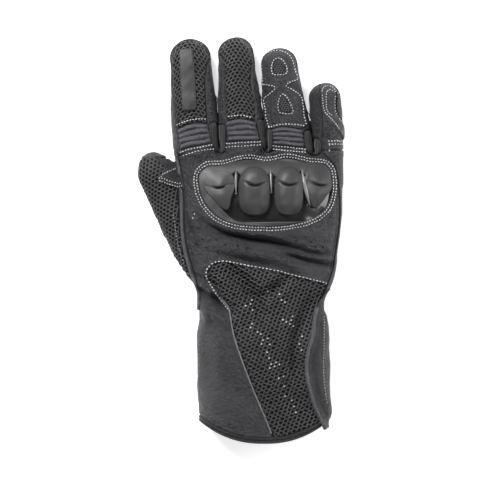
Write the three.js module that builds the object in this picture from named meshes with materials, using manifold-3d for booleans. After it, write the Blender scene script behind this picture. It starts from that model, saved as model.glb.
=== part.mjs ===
// Long-cuff summer motorcycle glove for the right hand, lying palm down.
// Millimetres, +Z up, +Y towards the fingertips, the thumb towards -X.
// The glove's walls are cut from one hollow form, panel by panel, as a glove maker's
// pattern is, and the guard, patch, tab, flap and overlay lie on those walls.

import * as THREE from "three";
import { mergeVertices } from "three/addons/utils/BufferGeometryUtils.js";
import Module from "manifold-3d";

const wasm = await Module();
wasm.setup();

// Hand and cuff sizes
const handLength = 217.5; // from the hem's lowest point to the crotches of the fingers
const cuffWidth = 98;
const wristWidth = 93.5;
const palmWidth = 122;
const cuffHeight = 48;
const wristHeight = 38;
const palmHeight = 36;
const crotchHeight = 26.5;
const hemRise = 16; // how far the hem climbs from its middle to the sides
const wristLift = 2.5; // the wrist is clear of the surface by this much

// Walls and joins
const wall = 1.8; // leather or spacer mesh with its backing
const seamGap = 0.4; // between neighbouring panels
const layerGap = 0.3; // between a panel and what is sewn on it
const overlay = 1.3; // leather sewn on top
const bindingWidth = 4.2;
const bindingProud = 0.8; // how far the hem binding stands out on both faces

// Fingers, measured from the crotches to the tips
const fingerGap = 0.8;
const indexLength = 84;
const indexWidth = 34.5;
const middleLength = 85.5;
const middleWidth = 34.5;
const ringLength = 77.5;
const ringWidth = 35;
const littleLength = 51;
const littleWidth = 21.5;
const thumbLength = 108; // from its root inside the hand
const thumbWidth = 31.5;
const fingerHeight = 26;
const fingertipHeight = 19;
const thumbHeight = 27;

// Trim
const ribHeight = 1.1;
const ribPitch = 4.4;
const gussetReach = 22; // how far the knit gussets climb the fingers
const gussetHalf = 6.5;
const stripWidth = 4.6; // the edge strips' reach over the back and the palm
const flapThickness = 1.6;
const patchWidth = 11.2;
const patchLength = 46;
const patchThickness = 1.2;

// Knuckle guard
const guardPlate = 1.4; // thickness of the gloss base
const guardShell = 2.4; // thickness of the satin shell above it
const guardFlange = 4; // sewn under the leather all round
const knuckleHeight = 6.5; // the middle pair's rise above the leather
const knuckleWidth = 24;
const knuckleLength = 36;

const FAR = 400; // reaches past the glove in any direction
const RAD = Math.PI / 180;

// Turns short lists into rows with named columns.
const rows = (columns, lists) =>
  lists.map((list) => Object.fromEntries(columns.map((name, i) => [name, list[i]])));

// Sections of the hand, from the hem to the crotches. "along" is a share of handLength,
// "centre" a share of palmWidth.
const crotchWidth =
  indexWidth + middleWidth + ringWidth + littleWidth + 3 * fingerGap;
const HAND = rows(
  ["along", "centre", "width", "height", "lift"],
  [
    [0.0, 0.02, cuffWidth * 0.98, cuffHeight, 0],
    [0.083, 0.02, cuffWidth * 0.99, cuffHeight, 0],
    [0.214, 0.013, cuffWidth, cuffHeight * 0.97, 0],
    [0.352, 0.008, cuffWidth * 0.995, cuffHeight * 0.92, 0],
    [0.44, 0.005, wristWidth * 1.002, wristHeight * 1.06, wristLift * 0.7],
    [0.49, 0.004, wristWidth, wristHeight, wristLift],
    [0.538, 0.015, wristWidth * 1.1, wristHeight * 0.98, wristLift * 0.8],
    [0.593, 0.01, palmWidth * 0.9, palmHeight * 1.02, 0],
    [0.662, 0.003, palmWidth * 0.945, palmHeight * 1.02, 0],
    [0.748, 0.003, palmWidth * 0.985, palmHeight * 1.02, 0],
    [0.834, 0.002, palmWidth, palmHeight, 0],
    [0.91, -0.006, palmWidth * 1.005, palmHeight * 0.94, 0],
    [0.965, -0.013, palmWidth * 1.02, palmHeight * 0.83, 0],
    [1.0, -0.012, crotchWidth, crotchHeight, 0],
  ],
);

// Folds pressed into the back, as lines from one place to another. "across" runs from
// -1 at the thumb's side to 1, widths and depths are shares of palmWidth.
const FOLDS = rows(
  ["across0", "along0", "across1", "along1", "width", "depth"],
  [
    [-0.82, 0.75, -0.2, 0.696, 0.03, 0.02], // the leather rolls under the guard
    [-0.2, 0.696, 0.85, 0.722, 0.03, 0.021],
    [-0.55, 0.665, 0.2, 0.61, 0.026, -0.007], // ridges running towards the little side
    [-0.05, 0.655, 0.8, 0.625, 0.026, -0.008],
    [-1.0, 0.53, -0.5, 0.488, 0.037, 0.025], // the pinch at the wrist
    [-0.75, 0.47, -0.62, 0.4, 0.025, 0.011],
    [-0.45, 0.47, -0.15, 0.42, 0.045, 0.013], // the mesh sinks below the wrist
    [0.78, 0.47, 0.5, 0.3, 0.053, 0.026], // and towards the flap
    [0.5, 0.3, 0.62, 0.12, 0.053, 0.021],
  ],
);

// Smooth value of one column of a table at a share of the length (Catmull-Rom).
function column(table, name, along) {
  let i = 0;
  while (i < table.length - 2 && along > table[i + 1].along) i += 1;
  const at = (k) => table[Math.min(Math.max(k, 0), table.length - 1)][name];
  const t = THREE.MathUtils.clamp(
    (along - table[i].along) / (table[i + 1].along - table[i].along),
    0,
    1,
  );
  const [a, b, c, d] = [at(i - 1), at(i), at(i + 1), at(i + 2)];
  return (
    b +
    0.5 * t * (c - a + t * (2 * a - 5 * b + 4 * c - d + t * (3 * (b - c) + d - a)))
  );
}

const power = (value, exponent) => Math.sign(value) * Math.abs(value) ** exponent;

// A flattened round section: half-width, seam height, top and bottom, at an angle.
const TOP_SQUARENESS = 2.4;
const BOTTOM_SQUARENESS = 3.4;
const REST = 1.07; // how far the rounding is pressed flat where the glove lies on it
function sectionPoint(angle, half, seam, top, bottom) {
  const up = Math.sin(angle) >= 0;
  const n = 2 / (up ? TOP_SQUARENESS : BOTTOM_SQUARENESS);
  const lift = power(Math.sin(angle), n);
  return {
    across: half * power(Math.cos(angle), n),
    z: up ? seam + (top - seam) * lift : seam - (seam - bottom) * Math.min(1, -lift * REST),
  };
}

const handHalf = (along) => column(HAND, "width", along) / 2;
const handCentre = (along) => column(HAND, "centre", along) * palmWidth;
const SEAM_SHARE = 0.46; // the side seam's height as a share of the section's
const seamHeight = (along) => column(HAND, "height", along) * SEAM_SHARE;

// Place on the plan of the hand.
const handPlan = ({ across, along }) =>
  new THREE.Vector2(
    handCentre(along) + across * handHalf(along),
    along * handLength,
  );

// How deep the folds are at a place on the plan.
function foldDepth(x, y) {
  let depth = 0;
  for (const fold of FOLDS) {
    const from = handPlan({ across: fold.across0, along: fold.along0 });
    const to = handPlan({ across: fold.across1, along: fold.along1 });
    const line = to.clone().sub(from);
    const point = new THREE.Vector2(x, y).sub(from);
    const t = THREE.MathUtils.clamp(point.dot(line) / line.lengthSq(), 0, 1);
    const away = point.sub(line.multiplyScalar(t)).length() / (fold.width * palmWidth);
    depth += fold.depth * palmWidth * Math.exp(-away * away);
  }
  return depth;
}

// A closed solid from rings of points, each ring as long as the next.
function loft(rings) {
  const n = rings[0].length;
  const positions = rings.flat().flatMap((p) => [p.x, p.y, p.z]);
  const faces = [];
  for (let r = 0; r < rings.length - 1; r += 1)
    for (let i = 0; i < n; i += 1) {
      const [a, b] = [r * n + i, r * n + ((i + 1) % n)];
      faces.push(a, b, b + n, a, b + n, a + n);
    }
  for (const [r, turn] of [[0, 0], [rings.length - 1, 1]]) {
    const middle = rings[r]
      .reduce((sum, p) => sum.add(p), new THREE.Vector3())
      .divideScalar(n);
    const hub = positions.length / 3;
    positions.push(middle.x, middle.y, middle.z);
    for (let i = 0; i < n; i += 1) {
      const [a, b] = [r * n + i, r * n + ((i + 1) % n)];
      faces.push(...(turn ? [hub, a, b] : [hub, b, a]));
    }
  }
  const geometry = new THREE.BufferGeometry();
  geometry.setAttribute("position", new THREE.Float32BufferAttribute(positions, 3));
  geometry.setIndex(faces);
  return solid(geometry);
}

// A closed geometry as a manifold solid with its faces pointing out.
function solid(geometry) {
  const plain = new THREE.BufferGeometry();
  const source = geometry.index ? geometry.toNonIndexed() : geometry;
  plain.setAttribute("position", source.getAttribute("position"));
  const merged = mergeVertices(plain, 1e-4);
  const made = (turn) => {
    const triVerts = new Uint32Array(merged.index.array);
    if (turn)
      for (let i = 0; i < triVerts.length; i += 3)
        [triVerts[i + 1], triVerts[i + 2]] = [triVerts[i + 2], triVerts[i + 1]];
    return new wasm.Manifold(
      new wasm.Mesh({
        numProp: 3,
        vertProperties: new Float32Array(merged.attributes.position.array),
        triVerts,
      }),
    );
  };
  const first = made(false);
  return first.volume() < 0 ? made(true) : first;
}

const join = (list) => list.reduce((sum, item) => sum.add(item));

// The hand's form, grown outwards by "grow" (negative for the hollow).
const HAND_SIDES = 24;
const handStations = [
  -0.06, 0, 0.1, 0.214, 0.3, 0.37, 0.42, 0.455, 0.49, 0.538, 0.58, 0.62, 0.662, 0.7,
  0.74, 0.79, 0.85, 0.91, 0.965, 1,
];
const stationAt = (along) => handStations.findIndex((station) => station >= along);
function handForm(grow, first = 0, last = handStations.length - 1) {
  const rings = handStations.slice(first, last + 1).map((along) => {
    const shown = Math.max(along, 0);
    const end = along === 1 ? Math.min(grow, 0) : 0; // the hollow stops a wall short
    const half = handHalf(shown) + grow;
    const top = column(HAND, "height", shown) + grow;
    const bottom = Math.max(column(HAND, "lift", shown) - Math.min(grow, 0), 0);
    const ring = [];
    for (let i = 0; i < HAND_SIDES; i += 1) {
      const angle = (2 * Math.PI * i) / HAND_SIDES;
      const p = sectionPoint(angle, half, seamHeight(shown), top, bottom);
      const x = handCentre(shown) + p.across;
      const y = along * handLength + end;
      const upper = Math.max(Math.sin(angle), 0);
      ring.push(
        new THREE.Vector3(x, y, p.z - foldDepth(x, y) * Math.min(1, upper * 1.6)),
      );
    }
    return ring;
  });
  return loft(rings);
}

// Digits. "lean" turns the axis towards the thumb's side, in degrees; "tip" and "cap"
// are the tip's width and the length of its rounding, as shares of the width.
const ROOT_INSIDE = 0.4; // a finger starts this share of its width inside the hand
const ARCH = 0.08; // how far the middle of a finger arches up, as a share of its height
const slitPositions = [];
function fingersFromLeft(list) {
  let edge = handCentre(1) - crotchWidth / 2;
  return list.map((sizes) => {
    const x = edge + sizes.width / 2;
    edge += sizes.width + fingerGap;
    slitPositions.push({ x: edge - fingerGap / 2, lean: sizes.lean });
    return {
      ...sizes,
      root: new THREE.Vector2(x, handLength),
      inside: sizes.width * ROOT_INSIDE,
      height: fingerHeight,
      tipHeight: fingertipHeight,
      arch: fingerHeight * ARCH,
      foot: 1,
    };
  });
}
const [index, middle, ring, little] = fingersFromLeft([
  { length: indexLength, width: indexWidth, tip: 0.87, cap: 0.39, lean: 3.6 },
  { length: middleLength, width: middleWidth, tip: 0.72, cap: 0.28, lean: 4.5 },
  { length: ringLength, width: ringWidth, tip: 0.76, cap: 0.32, lean: 6.7 },
  { length: littleLength, width: littleWidth, tip: 1.14, cap: 0.56, lean: 5 },
]);
const thumb = {
  length: thumbLength,
  width: thumbWidth,
  tip: 0.9,
  cap: 0.6,
  lean: 25.8,
  root: handPlan({ across: -0.735, along: 0.552 }),
  inside: 0,
  foot: 0.7, // narrower where it leaves the wrist
  arch: 0,
  height: thumbHeight,
  tipHeight: thumbHeight * 0.82,
};
const digits = [index, middle, ring, little, thumb];

// Half-width of a digit before its tip rounds off, at a distance from the crotch.
const FOOT = 0.26; // where a narrow foot has widened, as a share of the length
const BULGE = 0.035; // the lower joint's padding, as a share of the width
function plainHalf(d, v) {
  const along = THREE.MathUtils.clamp(v / d.length, 0, 1);
  const taper = 1 + (d.tip - 1) * along;
  const bulge = 1 + BULGE * Math.sin(Math.PI * Math.min(1, along / 0.75));
  const foot = THREE.MathUtils.clamp(v / (d.length * FOOT), 0, 1) ** 0.7;
  return (d.width / 2) * taper * bulge * THREE.MathUtils.lerp(d.foot, 1, foot);
}
const digitHeight = (d, v) =>
  THREE.MathUtils.lerp(d.height, d.tipHeight, THREE.MathUtils.clamp(v / d.length, 0, 1));
const ROOT_LIFT = 0.35; // a digit's root is a little above the palm's underside
function digitArch(d, v) {
  const along = THREE.MathUtils.clamp(v / d.length, 0, 1);
  return d.arch * Math.sin(Math.PI * along) + ROOT_LIFT * (1 - along);
}

// Place on the plan of a digit: "across" in half-widths, "along" in shares of length.
function digitPlan(d, { across, along }) {
  const v = along * d.length;
  return placed(d, across * plainHalf(d, v), v);
}
function placed(d, u, v) {
  const [c, s] = [Math.cos(d.lean * RAD), Math.sin(d.lean * RAD)];
  return new THREE.Vector2(d.root.x + u * c - v * s, d.root.y + u * s + v * c);
}

const DIGIT_SIDES = 12;
const TUBE_STATIONS = [0, 0.3, 0.62]; // shares of the length up to the rounded tip
const CAP_STATIONS = [0, 0.5, 0.82, 0.998]; // shares of the rounded tip
function digitForm(d, grow) {
  const cap = d.cap * d.width;
  const start = d.length - cap;
  const stations = [
    { v: -d.inside, closing: 0 },
    ...TUBE_STATIONS.map((share) => ({ v: share * start, closing: 0 })),
    ...CAP_STATIONS.map((share) => ({ v: start + share * cap, closing: share })),
  ];
  const rings = stations.map(({ v, closing }) => {
    const round = Math.sqrt(1 - closing * closing);
    const half = (plainHalf(d, v) + grow) * round;
    const middleZ = digitArch(d, v) + digitHeight(d, v) / 2;
    const rise = (digitHeight(d, v) / 2 + grow) * round;
    const fall = (digitHeight(d, v) / 2 + Math.min(grow, 0)) * round;
    return Array.from({ length: DIGIT_SIDES }, (_, i) => {
      const angle = (2 * Math.PI * i) / DIGIT_SIDES;
      const p = sectionPoint(angle, half, middleZ, middleZ + rise, middleZ - fall);
      const place = placed(d, p.across, v + grow * closing);
      return new THREE.Vector3(place.x, place.y, p.z);
    });
  });
  return loft(rings);
}

// A solid standing on a plan outline, between two heights.
function prism(points, low = -FAR, high = FAR) {
  const geometry = new THREE.ExtrudeGeometry(new THREE.Shape(points), {
    depth: high - low,
    bevelEnabled: false,
  });
  geometry.translate(0, 0, low);
  return solid(geometry);
}

// The outline moved outwards by a distance (inwards if negative).
function grown(points, distance) {
  const n = points.length;
  const turn = Math.sign(THREE.ShapeUtils.area(points));
  return points.map((p, i) => {
    const before = p.clone().sub(points[(i + n - 1) % n]).normalize();
    const after = points[(i + 1) % n].clone().sub(p).normalize();
    const out = new THREE.Vector2(before.y + after.y, -before.x - after.x).normalize();
    const spread = Math.max(0.5, out.dot(new THREE.Vector2(after.y, -after.x)));
    return p.clone().add(out.multiplyScalar((turn * distance) / spread));
  });
}

// A smooth closed outline through a few points.
function smooth(points, count = points.length * 3) {
  const curve = new THREE.CatmullRomCurve3(
    points.map((p) => new THREE.Vector3(p.x, p.y, 0)),
    true,
    "centripetal",
  );
  return Array.from({ length: count }, (_, i) => {
    const p = curve.getPoint(i / count);
    return new THREE.Vector2(p.x, p.y);
  });
}

const onHand = (lists) => rows(["across", "along"], lists).map(handPlan);
const onDigit = (d, lists) =>
  rows(["across", "along"], lists).map((place) => digitPlan(d, place));

// Everything above the side seam of the hand.
function aboveSeam(shift = 0) {
  const shape = new THREE.Shape();
  const line = HAND.map((row) => [row.along * handLength, row.height * SEAM_SHARE]);
  shape.moveTo(-FAR, line[0][1] + shift);
  for (const [y, z] of line) shape.lineTo(y, z + shift);
  shape.lineTo(FAR, line.at(-1)[1] + shift);
  shape.lineTo(FAR, FAR);
  shape.lineTo(-FAR, FAR);
  const geometry = new THREE.ExtrudeGeometry(shape, { depth: 2 * FAR, bevelEnabled: false });
  geometry.translate(0, 0, -FAR);
  geometry.applyMatrix4(
    new THREE.Matrix4().set(0, 0, 1, 0, 1, 0, 0, 0, 0, 1, 0, 0, 0, 0, 0, 1),
  );
  return solid(geometry);
}
const above = (z) =>
  prism([[-FAR, -FAR], [FAR, -FAR], [FAR, FAR], [-FAR, FAR]].map((p) => new THREE.Vector2(...p)), z);

// The biggest piece of a cut, without the slivers that a cut can leave.
const biggest = (made) =>
  made.decompose().reduce((best, part) => (part.volume() > best.volume() ? part : best));

const outerForm = (grow = 0) => join([handForm(grow), ...digits.map((d) => digitForm(d, grow))]);
let rest = outerForm().subtract(outerForm(-wall));

// Cuts a region out of what is left of the walls, and leaves a seam gap round it.
function cut(outline, within = null) {
  const region = prism(outline);
  const cleared = prism(grown(outline, seamGap));
  const piece = rest.intersect(within ? region.intersect(within[0]) : region);
  rest = rest.subtract(within ? cleared.intersect(within[1]) : cleared);
  return biggest(piece);
}

const leather = { color: 0x4a494d, roughness: 0.62, metalness: 0 };
const darkLeather = { color: 0x3a393c, roughness: 0.58, metalness: 0 };
const mesh = { color: 0x2c2c2d, roughness: 0.9, metalness: 0 };
const knit = { color: 0x303033, roughness: 0.92, metalness: 0 };
const satinPlastic = { color: 0x4b4b4d, roughness: 0.42, metalness: 0 };
const glossPlastic = { color: 0x121213, roughness: 0.08, metalness: 0 };
const rubber = { color: 0x505052, roughness: 0.55, metalness: 0 };

const glove = new THREE.Group();
function add(name, made, finish) {
  const { numProp, vertProperties, triVerts, numVert } = biggest(made).getMesh();
  const positions = new Float32Array(numVert * 3);
  for (let i = 0; i < numVert; i += 1)
    positions.set(vertProperties.subarray(i * numProp, i * numProp + 3), i * 3);
  const geometry = new THREE.BufferGeometry();
  geometry.setAttribute("position", new THREE.BufferAttribute(positions, 3));
  geometry.setIndex(new THREE.BufferAttribute(triVerts, 1));
  geometry.computeVertexNormals();
  const part = new THREE.Mesh(geometry, new THREE.MeshStandardMaterial(finish));
  part.name = name;
  glove.add(part);
}

// Hem: the mouth's edge is a curve, lowest in the middle.
function hemLine(shift) {
  const line = [];
  for (let across = -1.2; across <= 1.21; across += 0.15) {
    const { x } = handPlan({ across, along: 0 });
    line.push(new THREE.Vector2(x, shift + hemRise * Math.abs(across) ** 2.3));
  }
  return line;
}
const below = (line) => [
  ...line,
  new THREE.Vector2(FAR, line.at(-1).y),
  new THREE.Vector2(FAR, -FAR),
  new THREE.Vector2(-FAR, -FAR),
  new THREE.Vector2(-FAR, line[0].y),
];
const lowHand = (grow) => handForm(grow, 0, stationAt(0.3));
add(
  "hem_binding",
  lowHand(bindingProud)
    .subtract(lowHand(-wall - bindingProud))
    .intersect(prism(below(hemLine(bindingWidth))))
    .subtract(prism(below(hemLine(0)))),
  darkLeather,
);
rest = rest.subtract(prism(below(hemLine(bindingWidth + seamGap))));

// Knit gussets in the three crotches
const SLIT = rows(
  ["side", "up"],
  [
    [-1, 1],
    [-0.9, 0.4],
    [-0.72, 0.06],
    [-0.42, -0.14],
    [0.42, -0.14],
    [0.72, 0.06],
    [0.9, 0.4],
    [1, 1],
  ],
);
const gussetSpace = [];
["index_middle", "middle_ring", "ring_little"].forEach((name, i) => {
  const { x, lean } = slitPositions[i];
  const nextLean = slitPositions[i + 1].lean;
  const turn = ((lean + nextLean) / 2) * RAD;
  const outline = SLIT.map(({ side, up }) => {
    const [u, v] = [side * gussetHalf, up * gussetReach];
    return new THREE.Vector2(
      x + u * Math.cos(turn) - v * Math.sin(turn),
      handLength + u * Math.sin(turn) + v * Math.cos(turn),
    );
  });
  add("gusset_" + name, cut(outline), knit);
  gussetSpace.push(prism(grown(outline, seamGap)));
});

// Takes one finger's tube off the hand, along the seam at the foot of its ribs.
const CLEAR = 1.5; // an outline's reach past the tube's own sides
function takeFinger(d, seamLeft, seamRight) {
  const edge = 1 + (fingerGap / 2 / (d.width / 2)) * 0.9;
  const outline = onDigit(d, [
    [-edge, seamLeft],
    [edge, seamRight],
    [edge, 1.2],
    [-edge, 1.2],
  ]);
  return cut(outline);
}

// Splits a digit's tube: cuts "outline" out of its upper wall.
function cutUpper(tube, d, outline) {
  const high = above(digitHeight(d, d.length) / 2);
  return {
    piece: biggest(tube.intersect(prism(outline)).intersect(high)),
    rest: tube.subtract(prism(grown(outline, seamGap)).intersect(high)),
  };
}

// Raised ribs across a stretch panel.
function ribs(d, panel, left, right, from, to) {
  const pitch = ribPitch / d.length;
  const inset = 0.08;
  let made = panel;
  for (let along = from + pitch * 0.6; along < to - pitch * 0.3; along += pitch) {
    const bar = onDigit(d, [
      [left + inset, along - pitch * 0.24],
      [right - inset, along - pitch * 0.24],
      [right - inset, along + pitch * 0.24],
      [left + inset, along + pitch * 0.24],
    ]);
    const layer = digitForm(d, ribHeight).subtract(digitForm(d, -wall / 2));
    made = made.add(layer.intersect(prism(bar, digitHeight(d, 0) / 2)));
  }
  return made.subtract(join(gussetSpace));
}

const box = (left, right, from, to) => [
  [left, from],
  [right, from],
  [right, to],
  [left, to],
];

// Index finger: mesh back with a smooth patch, ribs at its foot, leather front.
{
  let tube = takeFinger(index, -0.03, 0.03);
  const panel = cutUpper(tube, index, onDigit(index, box(-0.74, 0.7, 0.03, 0.26)));
  add("index_ribs", ribs(index, panel.piece, -0.74, 0.7, 0.03, 0.26), leather);
  const back = cutUpper(
    panel.rest,
    index,
    onDigit(index, [
      [-0.74, 0.272],
      [0.7, 0.272],
      [0.7, 0.55],
      [0.82, 0.74],
      [CLEAR, 0.84],
      [CLEAR, 1.2],
      [-CLEAR, 1.2],
      [-CLEAR, 0.78],
      [-0.86, 0.68],
      [-0.82, 0.5],
    ]),
  );
  add("index_mesh", back.piece, mesh);
  add("index_front", back.rest, leather);
  const patchFrom = 0.375;
  const patchTo = patchFrom + patchLength / index.length;
  const patchSide = patchWidth / 2 / (index.width / 2);
  const middleLine = -0.19;
  const outline = onDigit(
    index,
    box(middleLine - patchSide, middleLine + patchSide, patchFrom, patchTo),
  );
  add(
    "index_patch",
    digitForm(index, layerGap + patchThickness)
      .subtract(digitForm(index, layerGap))
      .intersect(prism(outline, index.tipHeight / 2)),
    rubber,
  );
}

// Middle finger: mesh back, ribs, leather front.
{
  const tube = takeFinger(middle, 0.055, 0.055);
  const panel = cutUpper(tube, middle, onDigit(middle, box(-0.66, 0.78, 0.085, 0.3)));
  add("middle_ribs", ribs(middle, panel.piece, -0.66, 0.78, 0.085, 0.3), leather);
  const back = cutUpper(
    panel.rest,
    middle,
    onDigit(middle, [
      [-0.66, 0.312],
      [0.78, 0.312],
      [0.84, 0.6],
      [0.92, 0.76],
      [CLEAR, 0.86],
      [CLEAR, 1.2],
      [-CLEAR, 1.2],
      [-CLEAR, 0.86],
      [-0.86, 0.76],
      [-0.7, 0.55],
    ]),
  );
  add("middle_mesh", back.piece, mesh);
  add("middle_front", back.rest, leather);
}

// Ring finger: leather back with two windows and two notches over mesh.
{
  let tube = takeFinger(ring, 0.03, 0.03);
  const panel = cutUpper(tube, ring, onDigit(ring, box(-0.72, 0.8, 0.05, 0.235)));
  add("ring_ribs", ribs(ring, panel.piece, -0.72, 0.8, 0.05, 0.235), leather);
  tube = panel.rest;
  const windows = {
    ring_window_tip: [[-0.32, 0.75], [0.42, 0.75], [0.66, 0.8], [0.4, 0.885], [0.05, 0.925], [-0.28, 0.885], [-0.42, 0.8]],
    ring_window_middle: [[-0.2, 0.365], [0.52, 0.365], [0.62, 0.41], [0.42, 0.51], [0.08, 0.575], [-0.2, 0.51], [-0.3, 0.42]],
    ring_notch_left: [[-0.92, 0.52], [-0.3, 0.625], [-0.92, 0.665]],
    ring_notch_right: [[0.96, 0.545], [0.92, 0.71], [0.24, 0.645]],
  };
  for (const [name, lists] of Object.entries(windows)) {
    const plain = onDigit(ring, lists);
    const outline = name.includes("window") ? smooth(plain, 14) : plain;
    const made = cutUpper(tube, ring, outline);
    add(name, made.piece, mesh);
    tube = made.rest;
  }
  const back = cutUpper(
    tube,
    ring,
    onDigit(ring, [
      [-0.78, 0.247],
      [0.86, 0.247],
      [0.93, 0.5],
      [0.97, 0.52],
      [0.95, 0.84],
      [CLEAR, 0.9],
      [CLEAR, 1.2],
      [-CLEAR, 1.2],
      [-CLEAR, 0.9],
      [-0.93, 0.84],
      [-0.93, 0.5],
    ]),
  );
  add("ring_back", back.piece, leather);
  add("ring_front", back.rest, darkLeather);
}

// Little finger: plain leather on the thumb's side, a mesh window, and a curved overlay.
{
  const tube = takeFinger(little, 0.02, 0.02);
  const mouth = cutUpper(
    tube,
    little,
    onDigit(little, [
      [0.62, 0.56],
      [CLEAR, 0.4],
      [CLEAR, 0.8],
      [0.66, 0.78],
    ]),
  );
  add("little_mesh", mouth.piece, mesh);
  const back = cutUpper(
    mouth.rest,
    little,
    onDigit(little, [
      [-0.3, 0.035],
      [CLEAR, 0.035],
      [CLEAR, 1.2],
      [-0.2, 1.2],
      [-0.22, 0.7],
      [-0.3, 0.4],
    ]),
  );
  add("little_back", back.piece, leather);
  add("little_front", back.rest, darkLeather);
  const band = smooth(
    onDigit(little, [
      [-0.16, 0.62],
      [0.1, 0.46],
      [0.62, 0.34],
      [0.86, 0.25],
      [0.9, 0.17],
      [0.97, 0.3],
      [0.88, 0.42],
      [0.5, 0.56],
      [0.5, 0.74],
      [0.62, 0.86],
      [0.3, 0.945],
      [-0.1, 0.9],
      [-0.2, 0.8],
    ]),
    30,
  );
  add(
    "little_overlay",
    digitForm(little, layerGap + overlay)
      .subtract(digitForm(little, layerGap))
      .intersect(prism(band, little.tipHeight / 2)),
    leather,
  );
}

// Thumb: everything outside the hand's own edge.
{
  const edge = HAND.filter((row) => row.along > 0.44).map((row) =>
    handPlan({ across: -1, along: row.along }),
  );
  const outline = [
    ...edge.map((p) => new THREE.Vector2(p.x - seamGap, p.y)),
    new THREE.Vector2(edge.at(-1).x - 3, handLength + 30),
    new THREE.Vector2(-FAR, handLength + 30),
    new THREE.Vector2(-FAR, edge[0].y),
  ];
  const tube = cut(outline);
  const high = thumbHeight * 0.5;
  const upper = tube.intersect(above(high + seamGap / 2));
  const lower = tube.subtract(above(high - seamGap / 2));
  add("thumb_mesh", upper, mesh);
  add("thumb_front", lower, darkLeather);
  const tab = onDigit(thumb, [
    [-0.05, 0.8],
    [0.72, 0.69],
    [1.05, 0.79],
    [0.66, 0.825],
    [0.3, 0.825],
  ]);
  add(
    "thumb_tab",
    digitForm(thumb, layerGap + overlay)
      .subtract(outerForm(layerGap))
      .intersect(prism(outline))
      .intersect(prism(tab, thumbHeight * 0.6)),
    leather,
  );
}

// Edge strips between the back and the palm
function edgeStrip(side, from, to, reach) {
  const line = Array.from({ length: 7 }, (_, i) => from + ((to - from) * i) / 6);
  const edge = (along, inside) => {
    const p = handPlan({ across: side, along });
    return new THREE.Vector2(p.x - side * inside, p.y);
  };
  return [
    ...line.map((along) => edge(along, reach)),
    ...line.reverse().map((along) => edge(along, -CLEAR)),
  ];
}
add("thumb_side_strip", cut(edgeStrip(-1, 0.5, 0.985, stripWidth)), leather);
add("little_side_strip", cut(edgeStrip(1, 0.51, 0.985, stripWidth)), leather);

// Back of the hand and the cuff
const upperHalf = [aboveSeam(seamGap / 2), aboveSeam(-seamGap / 2)];
const meshOutline = onHand([
  [-0.58, 0.578],
  [-0.46, 0.622],
  [-0.1, 0.603],
  [0.5, 0.575],
  [1.1, 0.54],
  [1.1, 0.04],
  [0.16, 0.0],
  [-0.16, 0.17],
  [-0.34, 0.29],
  [-0.42, 0.37],
  [-0.47, 0.44],
  [-0.6, 0.53],
]);
add("cuff_mesh", cut(meshOutline, upperHalf), mesh);

// Guard: window in the leather, gloss base sewn under it, satin shell in the window.
const guardWindow = smooth(
  onHand([
    [-0.62, 0.948],
    [-0.42, 0.953],
    [-0.25, 0.968],
    [-0.09, 0.975],
    [0.1, 0.966],
    [0.31, 0.979],
    [0.5, 0.969],
    [0.7, 0.961],
    [0.85, 0.948],
    [0.915, 0.9],
    [0.9, 0.845],
    [0.8, 0.79],
    [0.58, 0.762],
    [0.23, 0.745],
    [-0.2, 0.746],
    [-0.47, 0.764],
    [-0.65, 0.806],
    [-0.74, 0.87],
    [-0.73, 0.925],
  ]),
  30,
);
cut(guardWindow, upperHalf);
const backHand = (grow) => handForm(grow, stationAt(0.62));
const underWall = -wall - layerGap;
const guardHigh = above(seamHeight(0.9) + 1);
const flangeOutline = grown(guardWindow, guardFlange);
add(
  "guard_base",
  backHand(underWall)
    .subtract(backHand(underWall - guardPlate))
    .intersect(prism(flangeOutline))
    .intersect(guardHigh),
  glossPlastic,
);

// The shell is a border round an opening, with four knuckle blocks across the opening;
// the gloss base shows between them.
const opening = onHand([
  [-0.68, 0.876],
  [-0.55, 0.925],
  [-0.29, 0.935],
  [0.12, 0.93],
  [0.5, 0.935],
  [0.81, 0.91],
  [0.88, 0.876],
  [0.75, 0.79],
  [0.53, 0.764],
  [-0.28, 0.764],
]);
const TONGUE = rows(
  ["side", "up"],
  [[0, 1], [0.6, 0.86], [0.93, 0.5], [1, 0.1], [0.94, -0.45], [0.6, -0.86], [0, -1]],
);
const SHIELD = rows(
  ["side", "up"],
  [[0, 1], [0.6, 0.93], [0.95, 0.6], [1, 0.15], [0.72, -0.35], [0.3, -0.85], [0, -1]],
);
const KNUCKLES = [
  { across: -0.5, along: 0.868, width: 1.0, length: 0.84, rise: 0.8, shape: SHIELD },
  { across: -0.078, along: 0.864, width: 1.0, length: 1.04, rise: 1.0, shape: TONGUE },
  { across: 0.345, along: 0.864, width: 0.92, length: 1.04, rise: 1.0, shape: TONGUE },
  { across: 0.7, along: 0.873, width: 0.9, length: 0.86, rise: 0.8, shape: SHIELD },
];
function knuckleBlock({ across, along, width, length, rise, shape }) {
  const place = handPlan({ across, along });
  const half = new THREE.Vector2(knuckleWidth * width, knuckleLength * length).divideScalar(2);
  const right = shape.map(({ side, up }) => new THREE.Vector2(side * half.x, up * half.y));
  const left = right.slice(1, -1).reverse().map((p) => new THREE.Vector2(-p.x, p.y));
  const outline = [...right, ...left].map((p) => p.add(place));
  const ball = new THREE.SphereGeometry(1, 12, 10);
  ball.rotateX(Math.PI / 2);
  ball.scale(half.x * 1.22, half.y * 1.2, knuckleHeight * rise + guardShell);
  ball.rotateY(across * 18 * RAD); // leans with the fall of the hand's back
  const surface = column(HAND, "height", along) * (1 - Math.abs(across) ** 3 * 0.4);
  ball.translate(place.x, place.y, surface);
  return solid(ball).intersect(prism(outline));
}
const shellTop = guardShell + underWall + layerGap;
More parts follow.
